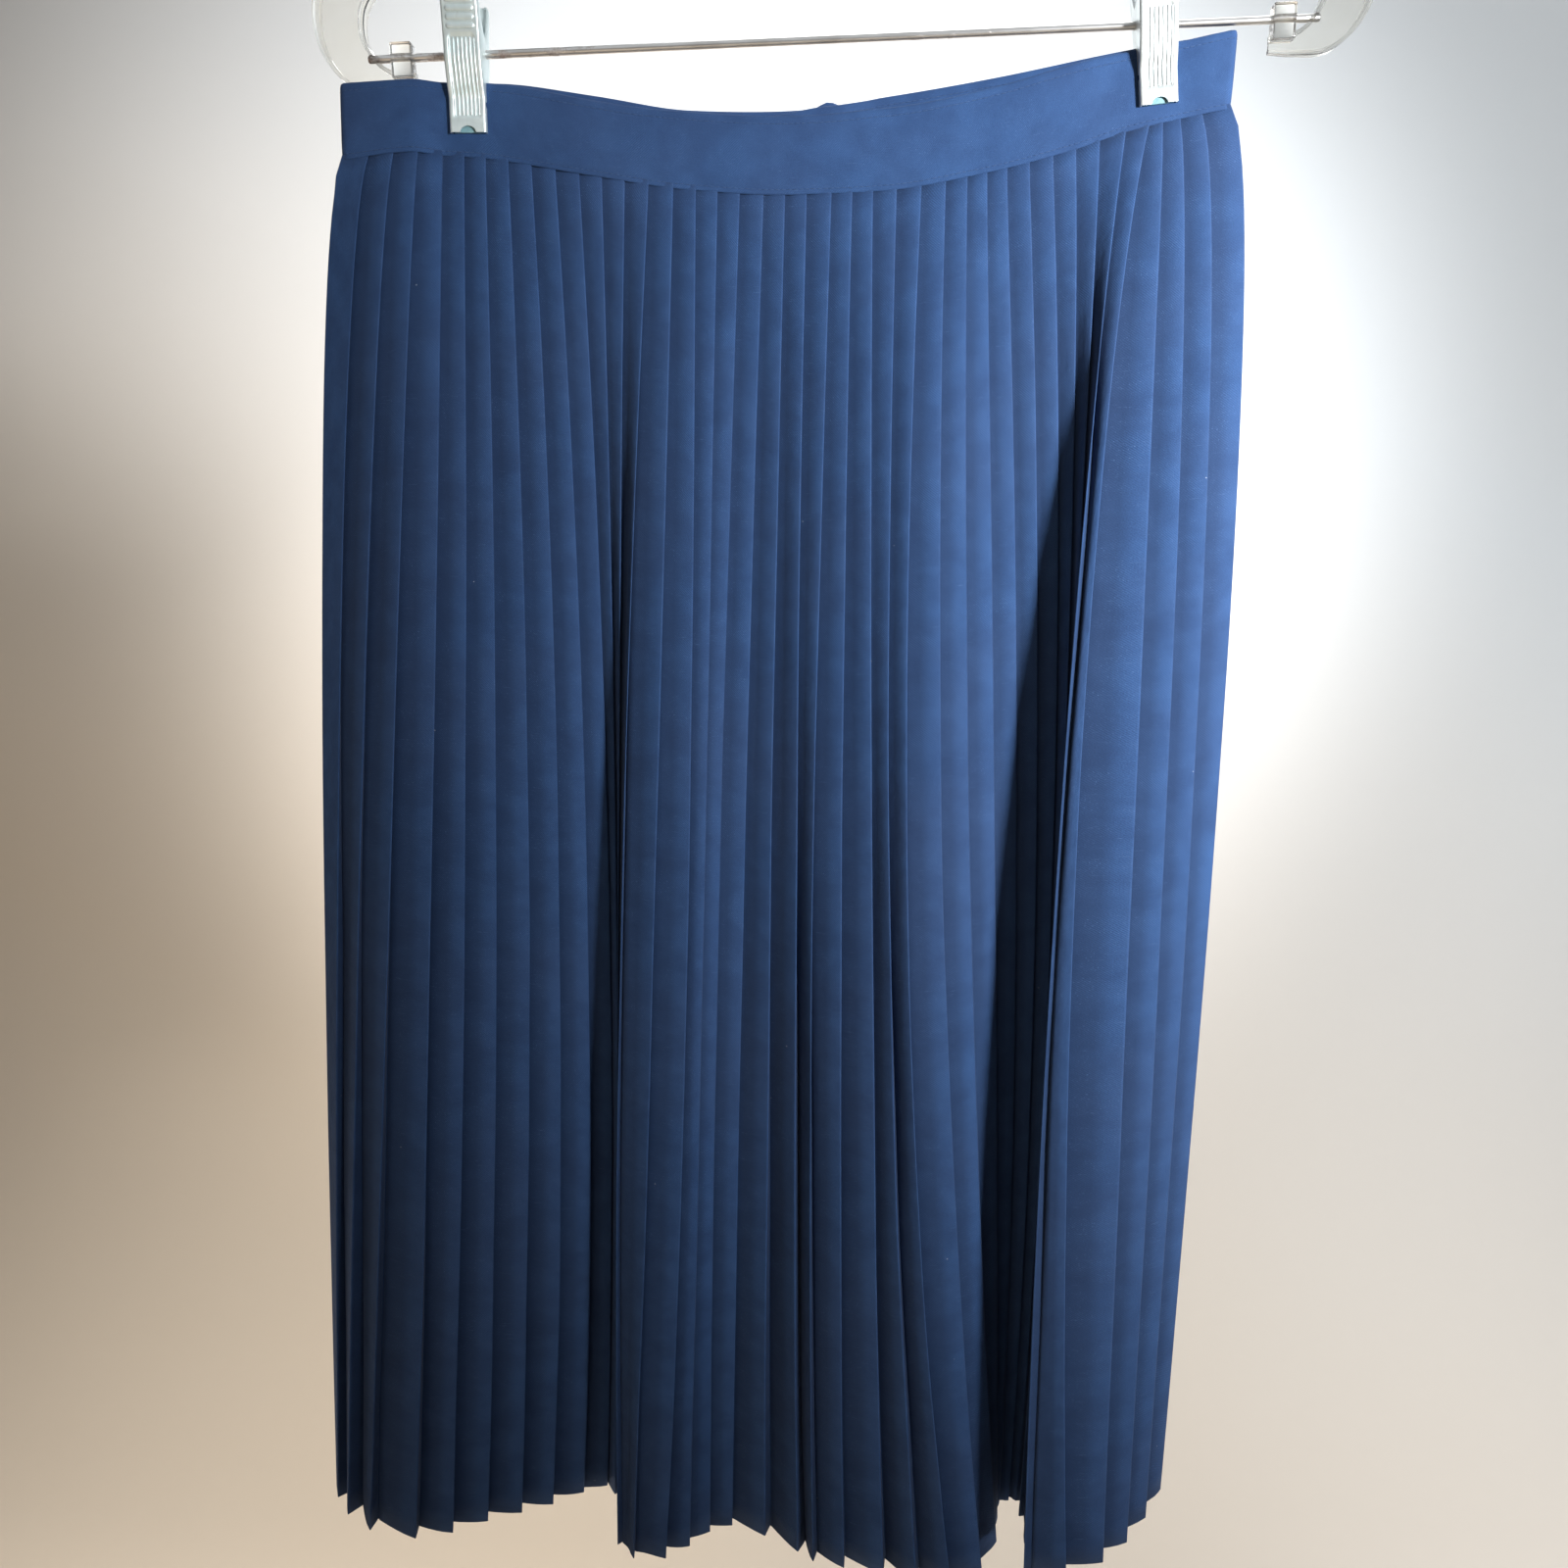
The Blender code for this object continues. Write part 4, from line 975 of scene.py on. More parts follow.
# ---------------------------------------------------------------- hard finishes
def clear_plastic():
    """Clear moulded plastic, a little yellowed, with faint flow marks."""
    mat, g, place = material("clear_plastic")
    flow = g.noise(place, 26.0, 3.0, 0.6)
    return painted(mat, g, {
        "Base Color": g.tint(g.ramp(flow, 0.3, 0.75), (0.955, 0.945, 0.90), (0.92, 0.89, 0.81)),
        "Roughness": g.ramp(g.noise(place, 90.0, 3.0), 0.35, 0.75, 0.03, 0.12),
        "Transmission Weight": 1.0, "IOR": 1.49, "Normal": g.bump(flow, 1.4 * MM, 0.35)})


def plated_steel(name, low, high, rough, dents=0.5):
    """Nickel-plated pressed steel: faint mottling, small dents and scuffs."""
    mat, g, place = material(name)
    mottle = g.noise(place, 140.0, 4.0, 0.6)
    scuff = g.noise(g.vector("MULTIPLY", place, (700.0, 700.0, 90.0)), 1.0)
    base = g.tint(g.ramp(mottle, 0.3, 0.7), low, high)
    dent = g.node("ShaderNodeTexVoronoi", {"Vector": place, "Scale": 190.0, "Randomness": 1.0})["Distance"]
    pits = g.bump(g.ramp(dent, 0.0, 0.35), 0.06 * MM, dents)
    return painted(mat, g, {
        "Base Color": g.tint(g.ramp(scuff, 0.62, 0.80, 0.0, 0.45), base, (0.46, 0.51, 0.51)),
        "Metallic": 0.6, "Roughness": g.ramp(mottle + scuff * 0.5, 0.45, 1.1, *rough),
        "Normal": g.bump(mottle, 0.25 * MM, dents, Normal=pits)})


RUST_FROM = -0.215   # where along the rod its plating has gone, outside and inside the left clip
RUST_TO = -0.085


def rusty_steel():
    """The rod's bright plating, gone to brown rust in patches by the left clip."""
    mat, g, place = material("rusted_rod_steel")
    along = g.split(place)[0]
    near = g.ramp(along, RUST_FROM, RUST_FROM + 0.03) * g.ramp(along, RUST_TO, RUST_TO - 0.045)
    patch = g.noise(g.vector("MULTIPLY", place, (110.0, 160.0, 160.0)), 1.0, 4.0, 0.65)
    rust = g.ramp(patch + (near * 0.20 + -0.16), 0.47, 0.66)
    plating = g.tint(g.ramp(g.noise(place, 60.0, 3.0), 0.3, 0.7), (0.60, 0.59, 0.58), (0.78, 0.78, 0.78))
    brown = g.tint(g.noise(place, 800.0, 3.0), (0.150, 0.090, 0.070), (0.33, 0.24, 0.20))
    return painted(mat, g, {
        "Base Color": g.tint(rust, plating, brown), "Metallic": g.ramp(rust, 0.65, 1.0, 1.0, 0.1),
        "Roughness": g.ramp(rust, 0.0, 1.0, 0.28, 0.80),
        "Normal": g.bump(rust * g.noise(place, 1500.0), 0.12 * MM, 0.9)})


def soft_rubber():
    mat, g, place = material("teal_rubber")
    grain = g.noise(place, 700.0, 3.0)
    return painted(mat, g, {
        "Base Color": g.tint(g.ramp(grain, 0.3, 0.7), (0.12, 0.25, 0.30), (0.18, 0.34, 0.38)),
        "Roughness": g.ramp(g.noise(place, 200.0), 0.3, 0.7, 0.55, 0.75),
        "Normal": g.bump(grain, 0.05 * MM, 0.5)})


def button_resin():
    """Navy resin, polished, with a faint darker swirl."""
    mat, g, place = material("navy_button_resin")
    swirl = g.noise(g.vector("MULTIPLY", place, (1.0, 1.0, 2.5)), 130.0, 5.0, 0.65)
    return painted(mat, g, {
        "Base Color": g.tint(g.ramp(swirl, 0.35, 0.70), (0.008, 0.013, 0.034), (0.030, 0.042, 0.085)),
        "Roughness": g.ramp(g.noise(place, 900.0), 0.3, 0.7, 0.18, 0.34), "Coat Weight": 0.3,
        "Normal": g.bump(swirl, 0.04 * MM, 0.3)})


def woven_tape():
    """The zip's close ribbed tape."""
    mat, g, place = material("navy_zip_tape_weave")
    split = g.split(place)
    weave = g.sine(split[0], 0.7 * MM) * g.sine(split[2], 0.5 * MM) * 0.5 + 0.5
    fuzz = g.noise(place, 1500.0)
    return painted(mat, g, {
        "Base Color": g.tint(weave * 0.6 + fuzz * 0.5, (0.010, 0.016, 0.040), (0.028, 0.042, 0.090)),
        "Roughness": g.ramp(fuzz, 0.3, 0.7, 0.75, 0.9), "Normal": g.bump(weave, 0.08 * MM, 0.8)})


def worn_enamel():
    """Dark enamel over metal, rubbed through to bright specks."""
    mat, g, place = material("worn_enamel")
    wear = g.noise(place, 620.0, 4.0, 0.7)
    bare = g.ramp(wear, 0.66, 0.72)
    base = g.tint(g.noise(place, 250.0), (0.012, 0.018, 0.045), (0.028, 0.038, 0.078))
    return painted(mat, g, {
        "Base Color": g.tint(bare, base, (0.42, 0.42, 0.42)), "Metallic": bare,
        "Roughness": g.ramp(wear, 0.3, 0.8, 0.28, 0.5), "Normal": g.bump(wear, 0.05 * MM, 0.4)})


def sewing_thread():
    """Twisted navy thread."""
    mat, g, place = material("navy_thread")
    split = g.split(place)
    twist = g.sine(split[0] + split[2], 0.45 * MM)
    tone = twist * 0.3 + g.noise(place, 900.0)
    return painted(mat, g, {
        "Base Color": g.tint(g.ramp(tone, 0.2, 0.9), (0.022, 0.048, 0.120), (0.045, 0.095, 0.220)),
        "Roughness": g.ramp(tone, 0.2, 0.9, 0.5, 0.7), "Specular IOR Level": 0.3,
        "Normal": g.bump(twist, 0.05 * MM, 0.6)})


# ---------------------------------------------------------------- hanger
HANGER = Matrix.Rotation(-TILT, 4, "Y")
HOOK_WIRE = 1.7 * MM
HOOK_RADIUS = 19.0 * MM
HOOK_START = math.radians(-62)
HOOK_SWEEP = math.radians(268)
STEM_FOOT = -59.5 * MM
STEM_CLEAR = 1.0 * MM
STEM_RISE = 3.5 * MM
HOOK_LEAVE = 6.0 * MM
HOOK_ARRIVE = 5.0 * MM
NECK_TOP = -47.0 * MM
SOCKET_INNER = 176.0 * MM
SOCKET_OUTER = 185.0 * MM
SOCKET_TOP = 5.5 * MM
SOCKET_FOOT = 8.0 * MM
SOCKET_THICK = 6.5 * MM
PLASTIC_FLATNESS = 0.36
FLANGE_THICK = 1.5 * MM
WEB_HALF = 0.7 * MM

Arm = namedtuple("Arm", "x z half_depth")
HANGER_ARM = [
    Arm(175.0, -176.5, 3.2), Arm(185.0, -176.5, 4.2), Arm(196.0, -173.0, 7.5),
    Arm(204.5, -162.0, 9.5), Arm(205.0, -147.0, 10.5), Arm(193.0, -129.0, 11.0),
    Arm(150.0, -107.0, 9.5), Arm(75.0, -84.0, 8.5), Arm(0.0, -69.0, 9.0),
]
NECK_SECTION = [
    (0.0, -72.0), (5.2, -72.0), (6.2, -71.0), (6.5, -69.0), (6.5, -52.0), (6.1, -51.0),
    (6.1, -49.5), (6.5, -48.5), (6.5, -47.8), (6.0, -47.2), (4.0, -47.0), (0.0, -47.0),
]


def arm_stations(per_step):
    """Stations from one socket over the neck to the other: x, height and half depth, on a
    curve whose slope at a row lies between its neighbours' by their lengths."""
    rows = [Vector(row) * MM for row in HANGER_ARM]
    rows.append(Vector((-rows[-2].x, rows[-2].y, rows[-2].z)))
    gaps = [(after.xy - before.xy).length for before, after in zip(rows, rows[1:])]
    ways = [(after - before) / gap for before, after, gap in zip(rows, rows[1:], gaps)]
    slopes = [ways[0]]
    for i in range(1, len(gaps)):
        slopes.append((ways[i - 1] * gaps[i] + ways[i] * gaps[i - 1]) / (gaps[i - 1] + gaps[i]))
    half = []
    for i in range(len(gaps) - 1):
        start, end = slopes[i] * gaps[i], slopes[i + 1] * gaps[i]
        half += [cubic(rows[i], rows[i + 1] - rows[i], start, end, k / per_step) for k in range(per_step)]
    half.append(rows[-2])
    return half + [Vector((-x, z, depth)) for x, z, depth in half[-2::-1]]


def build_hanger(plastic):
    """Moulded shoulders of an I section, the neck's boss and the two sockets of the rod."""
    stations = arm_stations(10)
    rings = []
    for i, (x, z, half) in enumerate(stations):
        before, after = stations[max(i - 1, 0)], stations[min(i + 1, len(stations) - 1)]
        way = Vector((after[0] - before[0], 0, after[1] - before[1])).normalized()
        out = Vector((-way.z, 0, way.x))
        wide = max(half * PLASTIC_FLATNESS, 1.2 * MM)
        web = min(WEB_HALF, wide * 0.6)
        inner = half - min(FLANGE_THICK, half * 0.42)
        outline = [(half, wide), (half, -wide), (inner, -wide), (inner, -web),
                   (-inner, -web), (-inner, -wide), (-half, -wide), (-half, wide),
                   (-inner, wide), (-inner, web), (inner, web), (inner, wide)]
        rings.append([Vector((x, 0, z)) + out * a + Vector((0, b, 0)) for a, b in outline])
    extra, bores = [turned([(r * MM, h * MM) for r, h in NECK_SECTION], 40)], []
    for side in (-1, 1):
        size = (SOCKET_OUTER - SOCKET_INNER, SOCKET_THICK, SOCKET_TOP + SOCKET_FOOT)
        centre = (side * (SOCKET_OUTER + SOCKET_INNER) / 2, 0, -ROD_DROP + (SOCKET_TOP - SOCKET_FOOT) / 2)
        extra.append(block(size, centre, 0.7 * MM))
        start, end = sorted(((SOCKET_INNER - 5 * MM) * side, (ROD_HALF + 0.3 * MM) * side))
        radius = ROD_RADIUS + 0.2 * MM
        bores.append(turned([(0.0, start), (radius, start), (radius, end), (0.0, end)], 24, "X"))
    data = creased(combined(combined(skinned(rings), extra, "UNION"), bores, "DIFFERENCE"))
    piece = show("clear_hanger", placed(data, HANGER), plastic, "clear_plastic", "hanger")
    round_over(piece, 0.22 * MM)


def round_over(piece, width):
    bevel = piece.modifiers.new("edges", "BEVEL")
    bevel.width = width
    bevel.segments = 2
    bevel.limit_method = "ANGLE"
    bevel.angle_limit = math.radians(38)
    bevel.harden_normals = False


def build_hook(steel):
    """Wire hook: a stem out of the neck, a bend to the right and a round top."""
    middle = HOOK_WIRE - HOOK_RADIUS
    points = [(0, 0, STEM_FOOT), (0, 0, (STEM_FOOT + NECK_TOP) / 2), (0, 0, NECK_TOP + STEM_CLEAR)]
    top = [(x, 0, z) for x, z in arc(0, middle, HOOK_RADIUS, HOOK_START, HOOK_SWEEP, 64)]
    stem_end, start = Vector((0, 0, NECK_TOP + STEM_RISE)), Vector(top[0])
    leave = stem_end + Vector((0, 0, HOOK_LEAVE))
    arrive = start - Vector((-math.sin(HOOK_START), 0, math.cos(HOOK_START))) * HOOK_ARRIVE
    for s in (i / 12 for i in range(12)):
        points.append(stem_end * (1 - s) ** 3 + leave * 3 * s * (1 - s) ** 2
                      + arrive * 3 * s * s * (1 - s) + start * s ** 3)
    show("wire_hook", placed(tube(points + top, HOOK_WIRE, 20), HANGER), steel, "plated_steel", "hook")


def build_rod(rusty):
    """The rod, with chamfered ends and the faint waist of its drawing here and there."""
    end = [(0.0, ROD_HALF), (ROD_RADIUS - 0.4 * MM, ROD_HALF), (ROD_RADIUS, ROD_HALF - 0.5 * MM)]
    section = [(radius, -along) for radius, along in end]
    for i in range(1, 60):
        along = mix(-ROD_HALF, ROD_HALF, i / 60)
        drawn = 0.02 * MM * (1 + math.sin(along * 90.0) * math.cos(along * 37.0))
        section.append((ROD_RADIUS - drawn, along))
    data = turned(section + end[::-1], 28, "X", (0, 0, -ROD_DROP))
    show("steel_rod", placed(data, HANGER), rusty, "plated_steel", "rod")


# ---------------------------------------------------------------- clips
CLIP_WIDTH = 15.5 * MM
CLIP_SHEET = 0.8 * MM
CLIP_ABOVE = 25.0 * MM
CLIP_BELOW = 30.5 * MM
CLIP_HALF_GAP = 1.15 * MM
PAD_THICK = 1.2 * MM
PAD_WIDTH = 12.5 * MM
PAD_HEIGHT = 11.0 * MM
GAP = 0.3 * MM
JAW_OUT = CLIP_HALF_GAP + BAND_THICK / 2 + GAP + PAD_THICK + GAP + CLIP_SHEET / 2
BACK_PLATE_INSET = 1.1 * MM
BACK_PLATE_SHORT = 3.0 * MM
PANEL_HALF = 5.9 * MM          # the sunk panel that holds the ribs
PANEL_TOP = 5.4 * MM
PANEL_FOOT = -25.2 * MM
PANEL_SINK = 0.45 * MM
PANEL_CORNER = 2.6 * MM
RIBS = 7
RIB_PITCH = 1.72 * MM
RIB_TOP = 3.8 * MM
RIB_FOOT = -24.2 * MM
RIB_BLUNT = 0.02               # share of a bead that tapers at either end
RIDGES = 5
RIDGE_PITCH = 3.05 * MM
RIDGE_FIRST = 7.8 * MM         # the lowest grip ridge's height over the rod
RIDGE_HALF = 6.0 * MM
RIDGE_BLUNT = 0.09
NOTCH_RADIUS = 3.3 * MM
NOTCH_RISE = 2.5 * MM
WALL_NOTCH_FOOT = -20.8 * MM   # the nick in each side wall
WALL_NOTCH_TOP = -18.6 * MM
COIL_RADIUS = 2.7 * MM
COIL_LENGTH = 8.0 * MM
COIL_WIRE = 0.55 * MM

ClipLine = namedtuple("ClipLine", "up out wall")
# The plate's middle line from grip to jaw and how deep its bent side walls are. Millimetres.
CLIP_LINE = [
    ClipLine(-30.5, 4.35, 2.4), ClipLine(-22.0, 4.35, 2.4), ClipLine(-18.0, 4.35, 2.6),
    ClipLine(-13.0, 5.95, 4.2), ClipLine(-9.0, 7.0, 6.0), ClipLine(-5.0, 8.0, 9.6),
    ClipLine(-2.5, 8.5, 11.4), ClipLine(2.5, 8.8, 11.4), ClipLine(5.0, 9.1, 9.2),
    ClipLine(9.0, 9.7, 5.6), ClipLine(16.0, 10.7, 3.4), ClipLine(25.0, 12.0, 2.0),
]


def clip_places():
    """The two clips' own frames: x along the rod, y through the band, z up."""
    for name, along, swivel in (("left", -153.0 * MM, -2.0), ("right", 129.0 * MM, 4.5)):
        yield name, (HANGER @ Matrix.Translation((along, 0, -ROD_DROP))
                     @ Matrix.Rotation(-math.radians(swivel), 4, "Y"))


def clip_out(up):
    return through(CLIP_LINE, "out", up / MM) * MM


def clip_plate(side):
    """A pressed plate: its face with the sunk panel, rounded bends and side walls, and the
    half-round notch in its foot. side is -1 at the front."""
    half = CLIP_WIDTH / 2 - (0.0 if side < 0 else BACK_PLATE_INSET)
    inner = half - 1.0 * MM
    above = CLIP_ABOVE - (0.0 if side < 0 else BACK_PLATE_SHORT)
    rows, columns = 92, 40
    bm = bmesh.new()
    grid = []
    for i in range(rows + 1):
        up = mix(above, -CLIP_BELOW, i / rows)
        wall = through(CLIP_LINE, "wall", up / MM) * MM
        if WALL_NOTCH_FOOT < up < WALL_NOTCH_TOP:
            wall = 1.0 * MM
        # The grip's corners are rounded.
        trim = max(0.0, (up - (above - 3.0 * MM)) / (3.0 * MM))
        narrow = 1.0 - 0.22 * (1.0 - math.sqrt(max(0.0, 1.0 - trim * trim)))
        bend = [(half, wall), (half, mix(1.0 * MM, wall, 0.5)), (half, 1.0 * MM),
                (half - 0.12 * MM, 0.5 * MM), (half - 0.5 * MM, 0.12 * MM)]
        across = [mix(-inner, inner, k / columns) for k in range(columns + 1)]
        line = [(-x, inward) for x, inward in bend] + [(x, panel_sink(x, up)) for x in across] + bend[::-1]
        points = []
        for x, inward in line:
            rise = 0.0
            if abs(x) < NOTCH_RADIUS and i > rows - 8:
                arch = NOTCH_RISE * math.sqrt(1 - (x / NOTCH_RADIUS) ** 2)
                rise = max(0.0, -CLIP_BELOW + arch - up)
            out = clip_out(up) + CLIP_SHEET / 2 - inward
            points.append(bm.verts.new((x * narrow, side * out, up + rise)))
        grid.append(points)
    laid(bm, grid, side < 0)
    bmesh.ops.dissolve_degenerate(bm, dist=1e-6, edges=bm.edges)
    return to_mesh(bm)


def panel_sink(x, up):
    """How far the ribbed panel lies under the face: it has a rounded top and soft edges."""
    across = PANEL_HALF - abs(x)
    dx, dz = PANEL_CORNER - across, up - (PANEL_TOP - PANEL_CORNER)
    if dx > 0 and dz > 0:
        across = PANEL_CORNER - math.hypot(dx, dz)
    return PANEL_SINK * ease(min(across / (0.9 * MM), min(PANEL_TOP - up, up - PANEL_FOOT) / (1.3 * MM)))


def bead_shares(count, blunt):
    """Shares along a bead's line, closer together at its rounded ends."""
    middle = [mix(blunt, 1 - blunt, i / count) for i in range(count + 1)]
    return [0.0, blunt * 0.2, blunt * 0.5] + middle + [1 - blunt * 0.5, 1 - blunt * 0.2, 1.0]


def plate_beads(side, beads, metal):
    """The ribs of a plate's sunk panel and the ridges of its grip."""
    face = CLIP_SHEET / 2
    first = -RIB_PITCH * (RIBS - 1) / 2
    ups = [mix(RIB_TOP, RIB_FOOT, share) for share in bead_shares(36, RIB_BLUNT)]
    rib = [Vector((first, side * (clip_out(up) + face - PANEL_SINK), up)) for up in ups]
    ribs = grown("ribs", line_mesh([rib]), beads, metal, {
        "Count": RIBS, "Step": (RIB_PITCH, 0, 0), "Rise": 0.44 * MM, "Half width": 0.44 * MM,
        "Blunt": RIB_BLUNT, "Sides": 10})
    run = RIDGE_PITCH + 6 * MM
    lean = side * (clip_out(RIDGE_FIRST + run) - clip_out(RIDGE_FIRST)) / run * RIDGE_PITCH
    start = side * (clip_out(RIDGE_FIRST) + face - 0.15 * MM)
    ridge = [Vector((mix(-RIDGE_HALF, RIDGE_HALF, share), start, RIDGE_FIRST))
             for share in bead_shares(8, RIDGE_BLUNT)]
    ridges = grown("ridges", line_mesh([ridge]), beads, metal, {
        "Count": RIDGES if side < 0 else RIDGES - 1, "Step": (0, lean, RIDGE_PITCH), "Rise": 0.55 * MM,
        "Half width": 1.36 * MM, "Blunt": RIDGE_BLUNT, "Sides": 14})
    return together([ribs, ridges])


def spring(coil, metal):
    """A clip's coil round the rod, with an arm to each plate."""
    wire = grown("coil", line_mesh([[Vector((0, 0, 0)), Vector((0, 0, 1))]]), coil, metal, {
        "Turns": 6.0, "Radius": COIL_RADIUS, "Length": COIL_LENGTH, "Wire": COIL_WIRE, "Sides": 10})
    wire.transform(Matrix.Rotation(math.radians(90), 4, "Y") @ Matrix.Translation((0, 0, -COIL_LENGTH / 2)))
    reach = 14.0 * MM
    arms = []
    for side in (-1, 1):
        x = side * COIL_LENGTH / 2
        arms.append(tube([(x, side * COIL_RADIUS, 0), (x, side * 4.4 * MM, 5.0 * MM),
                          (x, side * (clip_out(reach) - 1.4 * MM), reach)], COIL_WIRE, 10))
    return together([wire] + arms)


def build_clips(steel, steel_painted_darker, rubber):
    beads, coil = repeated_beads(), wound_coil()
    jaw = CLIP_HALF_GAP + BAND_THICK / 2 + 0.02 * MM
    thick = JAW_OUT - CLIP_SHEET / 2 - PANEL_SINK - jaw
    for name, matrix in clip_places():
        # The right clip gets the plate's darker copy: painted shade against the stronger light it stands in.
        metal = steel if name == "left" else steel_painted_darker
        for side, word in ((-1, "front"), (1, "back")):
            end = f"{name}_{word}"
            plate = show(f"plate_{end}", placed(clip_plate(side), matrix), metal, "plated_steel",
                         f"clip_{end}")
            thickened(plate, CLIP_SHEET, -1.0)
            round_over(plate, 0.12 * MM)
            pressing = placed(plate_beads(side, beads, metal), matrix)
            show(f"pressing_{end}", pressing, metal, "plated_steel")
            pad = block((PAD_WIDTH, thick, PAD_HEIGHT),
                        (0, side * (jaw + thick / 2), -CLIP_BELOW + PAD_HEIGHT / 2 + 0.1 * MM), 0.3 * MM)
            show(f"rubber_{end}", placed(pad, matrix), rubber, "teal_rubber", f"pad_{end}")
        wire = placed(spring(coil, metal), matrix)
        show(f"spring_wire_{name}", wire, metal, "plated_steel", f"spring_{name}")


# ---------------------------------------------------------------- closure
ZIP_LENGTH = 180.0 * MM
SLIDER_TOP = 1.0 * MM
SLIDER_CLEAR = 0.6 * MM
SLIDER_LENGTH = 8.0 * MM
SLIDER_WIDTH = 7.5 * MM
PIN_OUT = 3.0 * MM
PULL_AXIS = Vector((11.5, 8.80, -226.70)) * MM
PULL_LENGTH = 20.0 * MM
PULL_WIDTH = 6.0 * MM
PULL_THICK = 1.0 * MM
# The blade's right edge down to where it is widest: share of its half width, height in mm.
PULL_SIDE = [(0.62, 0.55), (0.80, 0.2), (0.82, -2.0), (0.86, -5.0), (1.0, -9.0)]
BUTTON_FROM_END = 12.0 * MM
BUTTON_HOLE_OFF = 1.5 * MM
ZIP_PITCH = 0.75 * MM
BUTTON_SECTION = [(0.0, 0.0), (5.4, 0.0), (6.6, 0.35), (7.35, 1.0), (7.5, 1.7), (7.3, 2.5), (6.9, 2.92),
                  (6.4, 3.0), (5.9, 2.8), (5.4, 2.35), (4.9, 2.05), (4.2, 1.95), (0.0, 1.9)]
THREAD_LINE = [(-1.5, 1.0), (-1.35, 2.0), (-0.8, 2.3), (0.8, 2.3), (1.35, 2.0), (1.5, 1.0)]
TAPE_SECTION = [(-5.5, -1.3), (-4.7, -1.15), (-2.0, -1.1), (-1.2, -0.75),
                (1.2, -0.75), (2.0, -1.1), (4.7, -1.15), (5.5, -1.3)]


def centre_back(down, outward=0.0, across=0.0):
    """A point on the centre-back line, out from the cloth's middle and across."""
    cloth = cloth_at(BACK_FOLDS, CLOSURE_PLEAT, down / CLOTH_LENGTH)
    return cloth.place + cloth.outward * outward + Vector((across, 0, 0))


def closure_matrix():
    """The top of the zip: x along the band, y outward, z up the zip. The pull's pin lies on
    the axis of its joint."""
    top, lower = centre_back(0.0), centre_back(ZIP_LENGTH)
    turn = Matrix.Rotation(math.atan2(lower.y - top.y, top.z - lower.z), 4, "X")
    pin = turn @ Vector((0, PIN_OUT, -SLIDER_TOP - SLIDER_LENGTH / 2))
    return Matrix.Translation(PULL_AXIS - pin) @ turn


def build_zip(tape, enamel):
    start = SLIDER_TOP + SLIDER_LENGTH + SLIDER_CLEAR
    downs = [mix(start, ZIP_LENGTH, i / 50) for i in range(51)]
    rings = [[centre_back(down, out * MM, across * MM) for across, out in TAPE_SECTION]
             + [centre_back(down, (out - 0.4) * MM, across * MM) for across, out in TAPE_SECTION[::-1]]
             for down in downs]
    show("zip_tape", skinned(rings, 60.0), tape, "navy_zip_tape", "zip")
    teeth = grown("zip_teeth", line_mesh([[centre_back(down) for down in downs]]), zip_teeth(), tape, {
        "Pitch": ZIP_PITCH, "Tooth": 3.4 * MM, "Wire": 0.62 * MM, "Overlap": 0.55 * MM})
    show("zip_teeth", teeth, None, "navy_zip_tape")

    # The slider's two plates, the post between them and the bridge over its face.
    matrix = closure_matrix()
    half, top, foot = SLIDER_WIDTH / 2, -SLIDER_TOP, -SLIDER_TOP - SLIDER_LENGTH
    middle = (top + foot) / 2
    right = [(half * 0.72, top), (half, top - 1.6 * MM), (half * 0.98, middle),
             (half * 0.72, foot + 0.7 * MM), (half * 0.55, foot)]
    outline = right + [(-x, z) for x, z in right[::-1]]
    made = [slab(outline, out * MM, (out + thick) * MM) for out, thick in ((0.95, 1.0), (-1.2, 0.5))]
    made.append(block((1.6 * MM, 2.4 * MM, 2.0 * MM), (0, 0, top - 1.4 * MM), 0.3 * MM))
    bridge = [(1.7, top, -0.9), (3.6, top, -1.0), (4.35, top, -2.2), (4.45, middle, 0.0), (4.2, foot, 2.2),
              (3.2, foot, 1.2), (1.7, foot, 1.0)]
    made.append(placed(tube([(0, out * MM, level + up * MM) for out, level, up in bridge], 0.5 * MM),
                       Matrix.Diagonal((1.5, 1.0, 1.0, 1.0))))
    slider = show("slider", placed(together(made), matrix), enamel, "enamelled_zip_metal", "zip_slider")
    round_over(slider, 0.18 * MM)
    build_pull(matrix @ Matrix.Translation((0, PIN_OUT, middle)), enamel)


def build_pull(matrix, enamel):
    """The pull tab: a bar through the slider's bridge, a narrow neck and a rounded blade
    with a long hole."""
    half, thick = PULL_WIDTH / 2, PULL_THICK / 2
    right = [(half * share, z * MM) for share, z in PULL_SIDE]
    tip = arc(0, half - PULL_LENGTH, half, 0, -math.pi, 14)

    def hole(top, foot, half):
        """A long round-ended cutter."""
        return slab(arc(0, top - half, half, 0, math.pi, 8) + arc(0, foot + half, half, math.pi, math.pi, 8),
                    -3 * thick, 3 * thick)

    cuts = [hole(-0.55 * MM, -6.0 * MM, 1.3 * MM)]
    for side in (-1, 1):
        sunk = Matrix.Translation((0, side * (4 * thick - 0.28 * MM), 0))
        cuts.append(placed(hole(-10.0 * MM, -18.0 * MM, 1.9 * MM), sunk))
    blade = slab(right + tip + [(-x, z) for x, z in right[::-1]], -thick, thick)
    data = placed(creased(combined(blade, cuts, "DIFFERENCE")), matrix)
    pull = show("pull_tab", data, enamel, "enamelled_zip_metal", "zip_pull", body="pull")
    round_over(pull, 0.14 * MM)


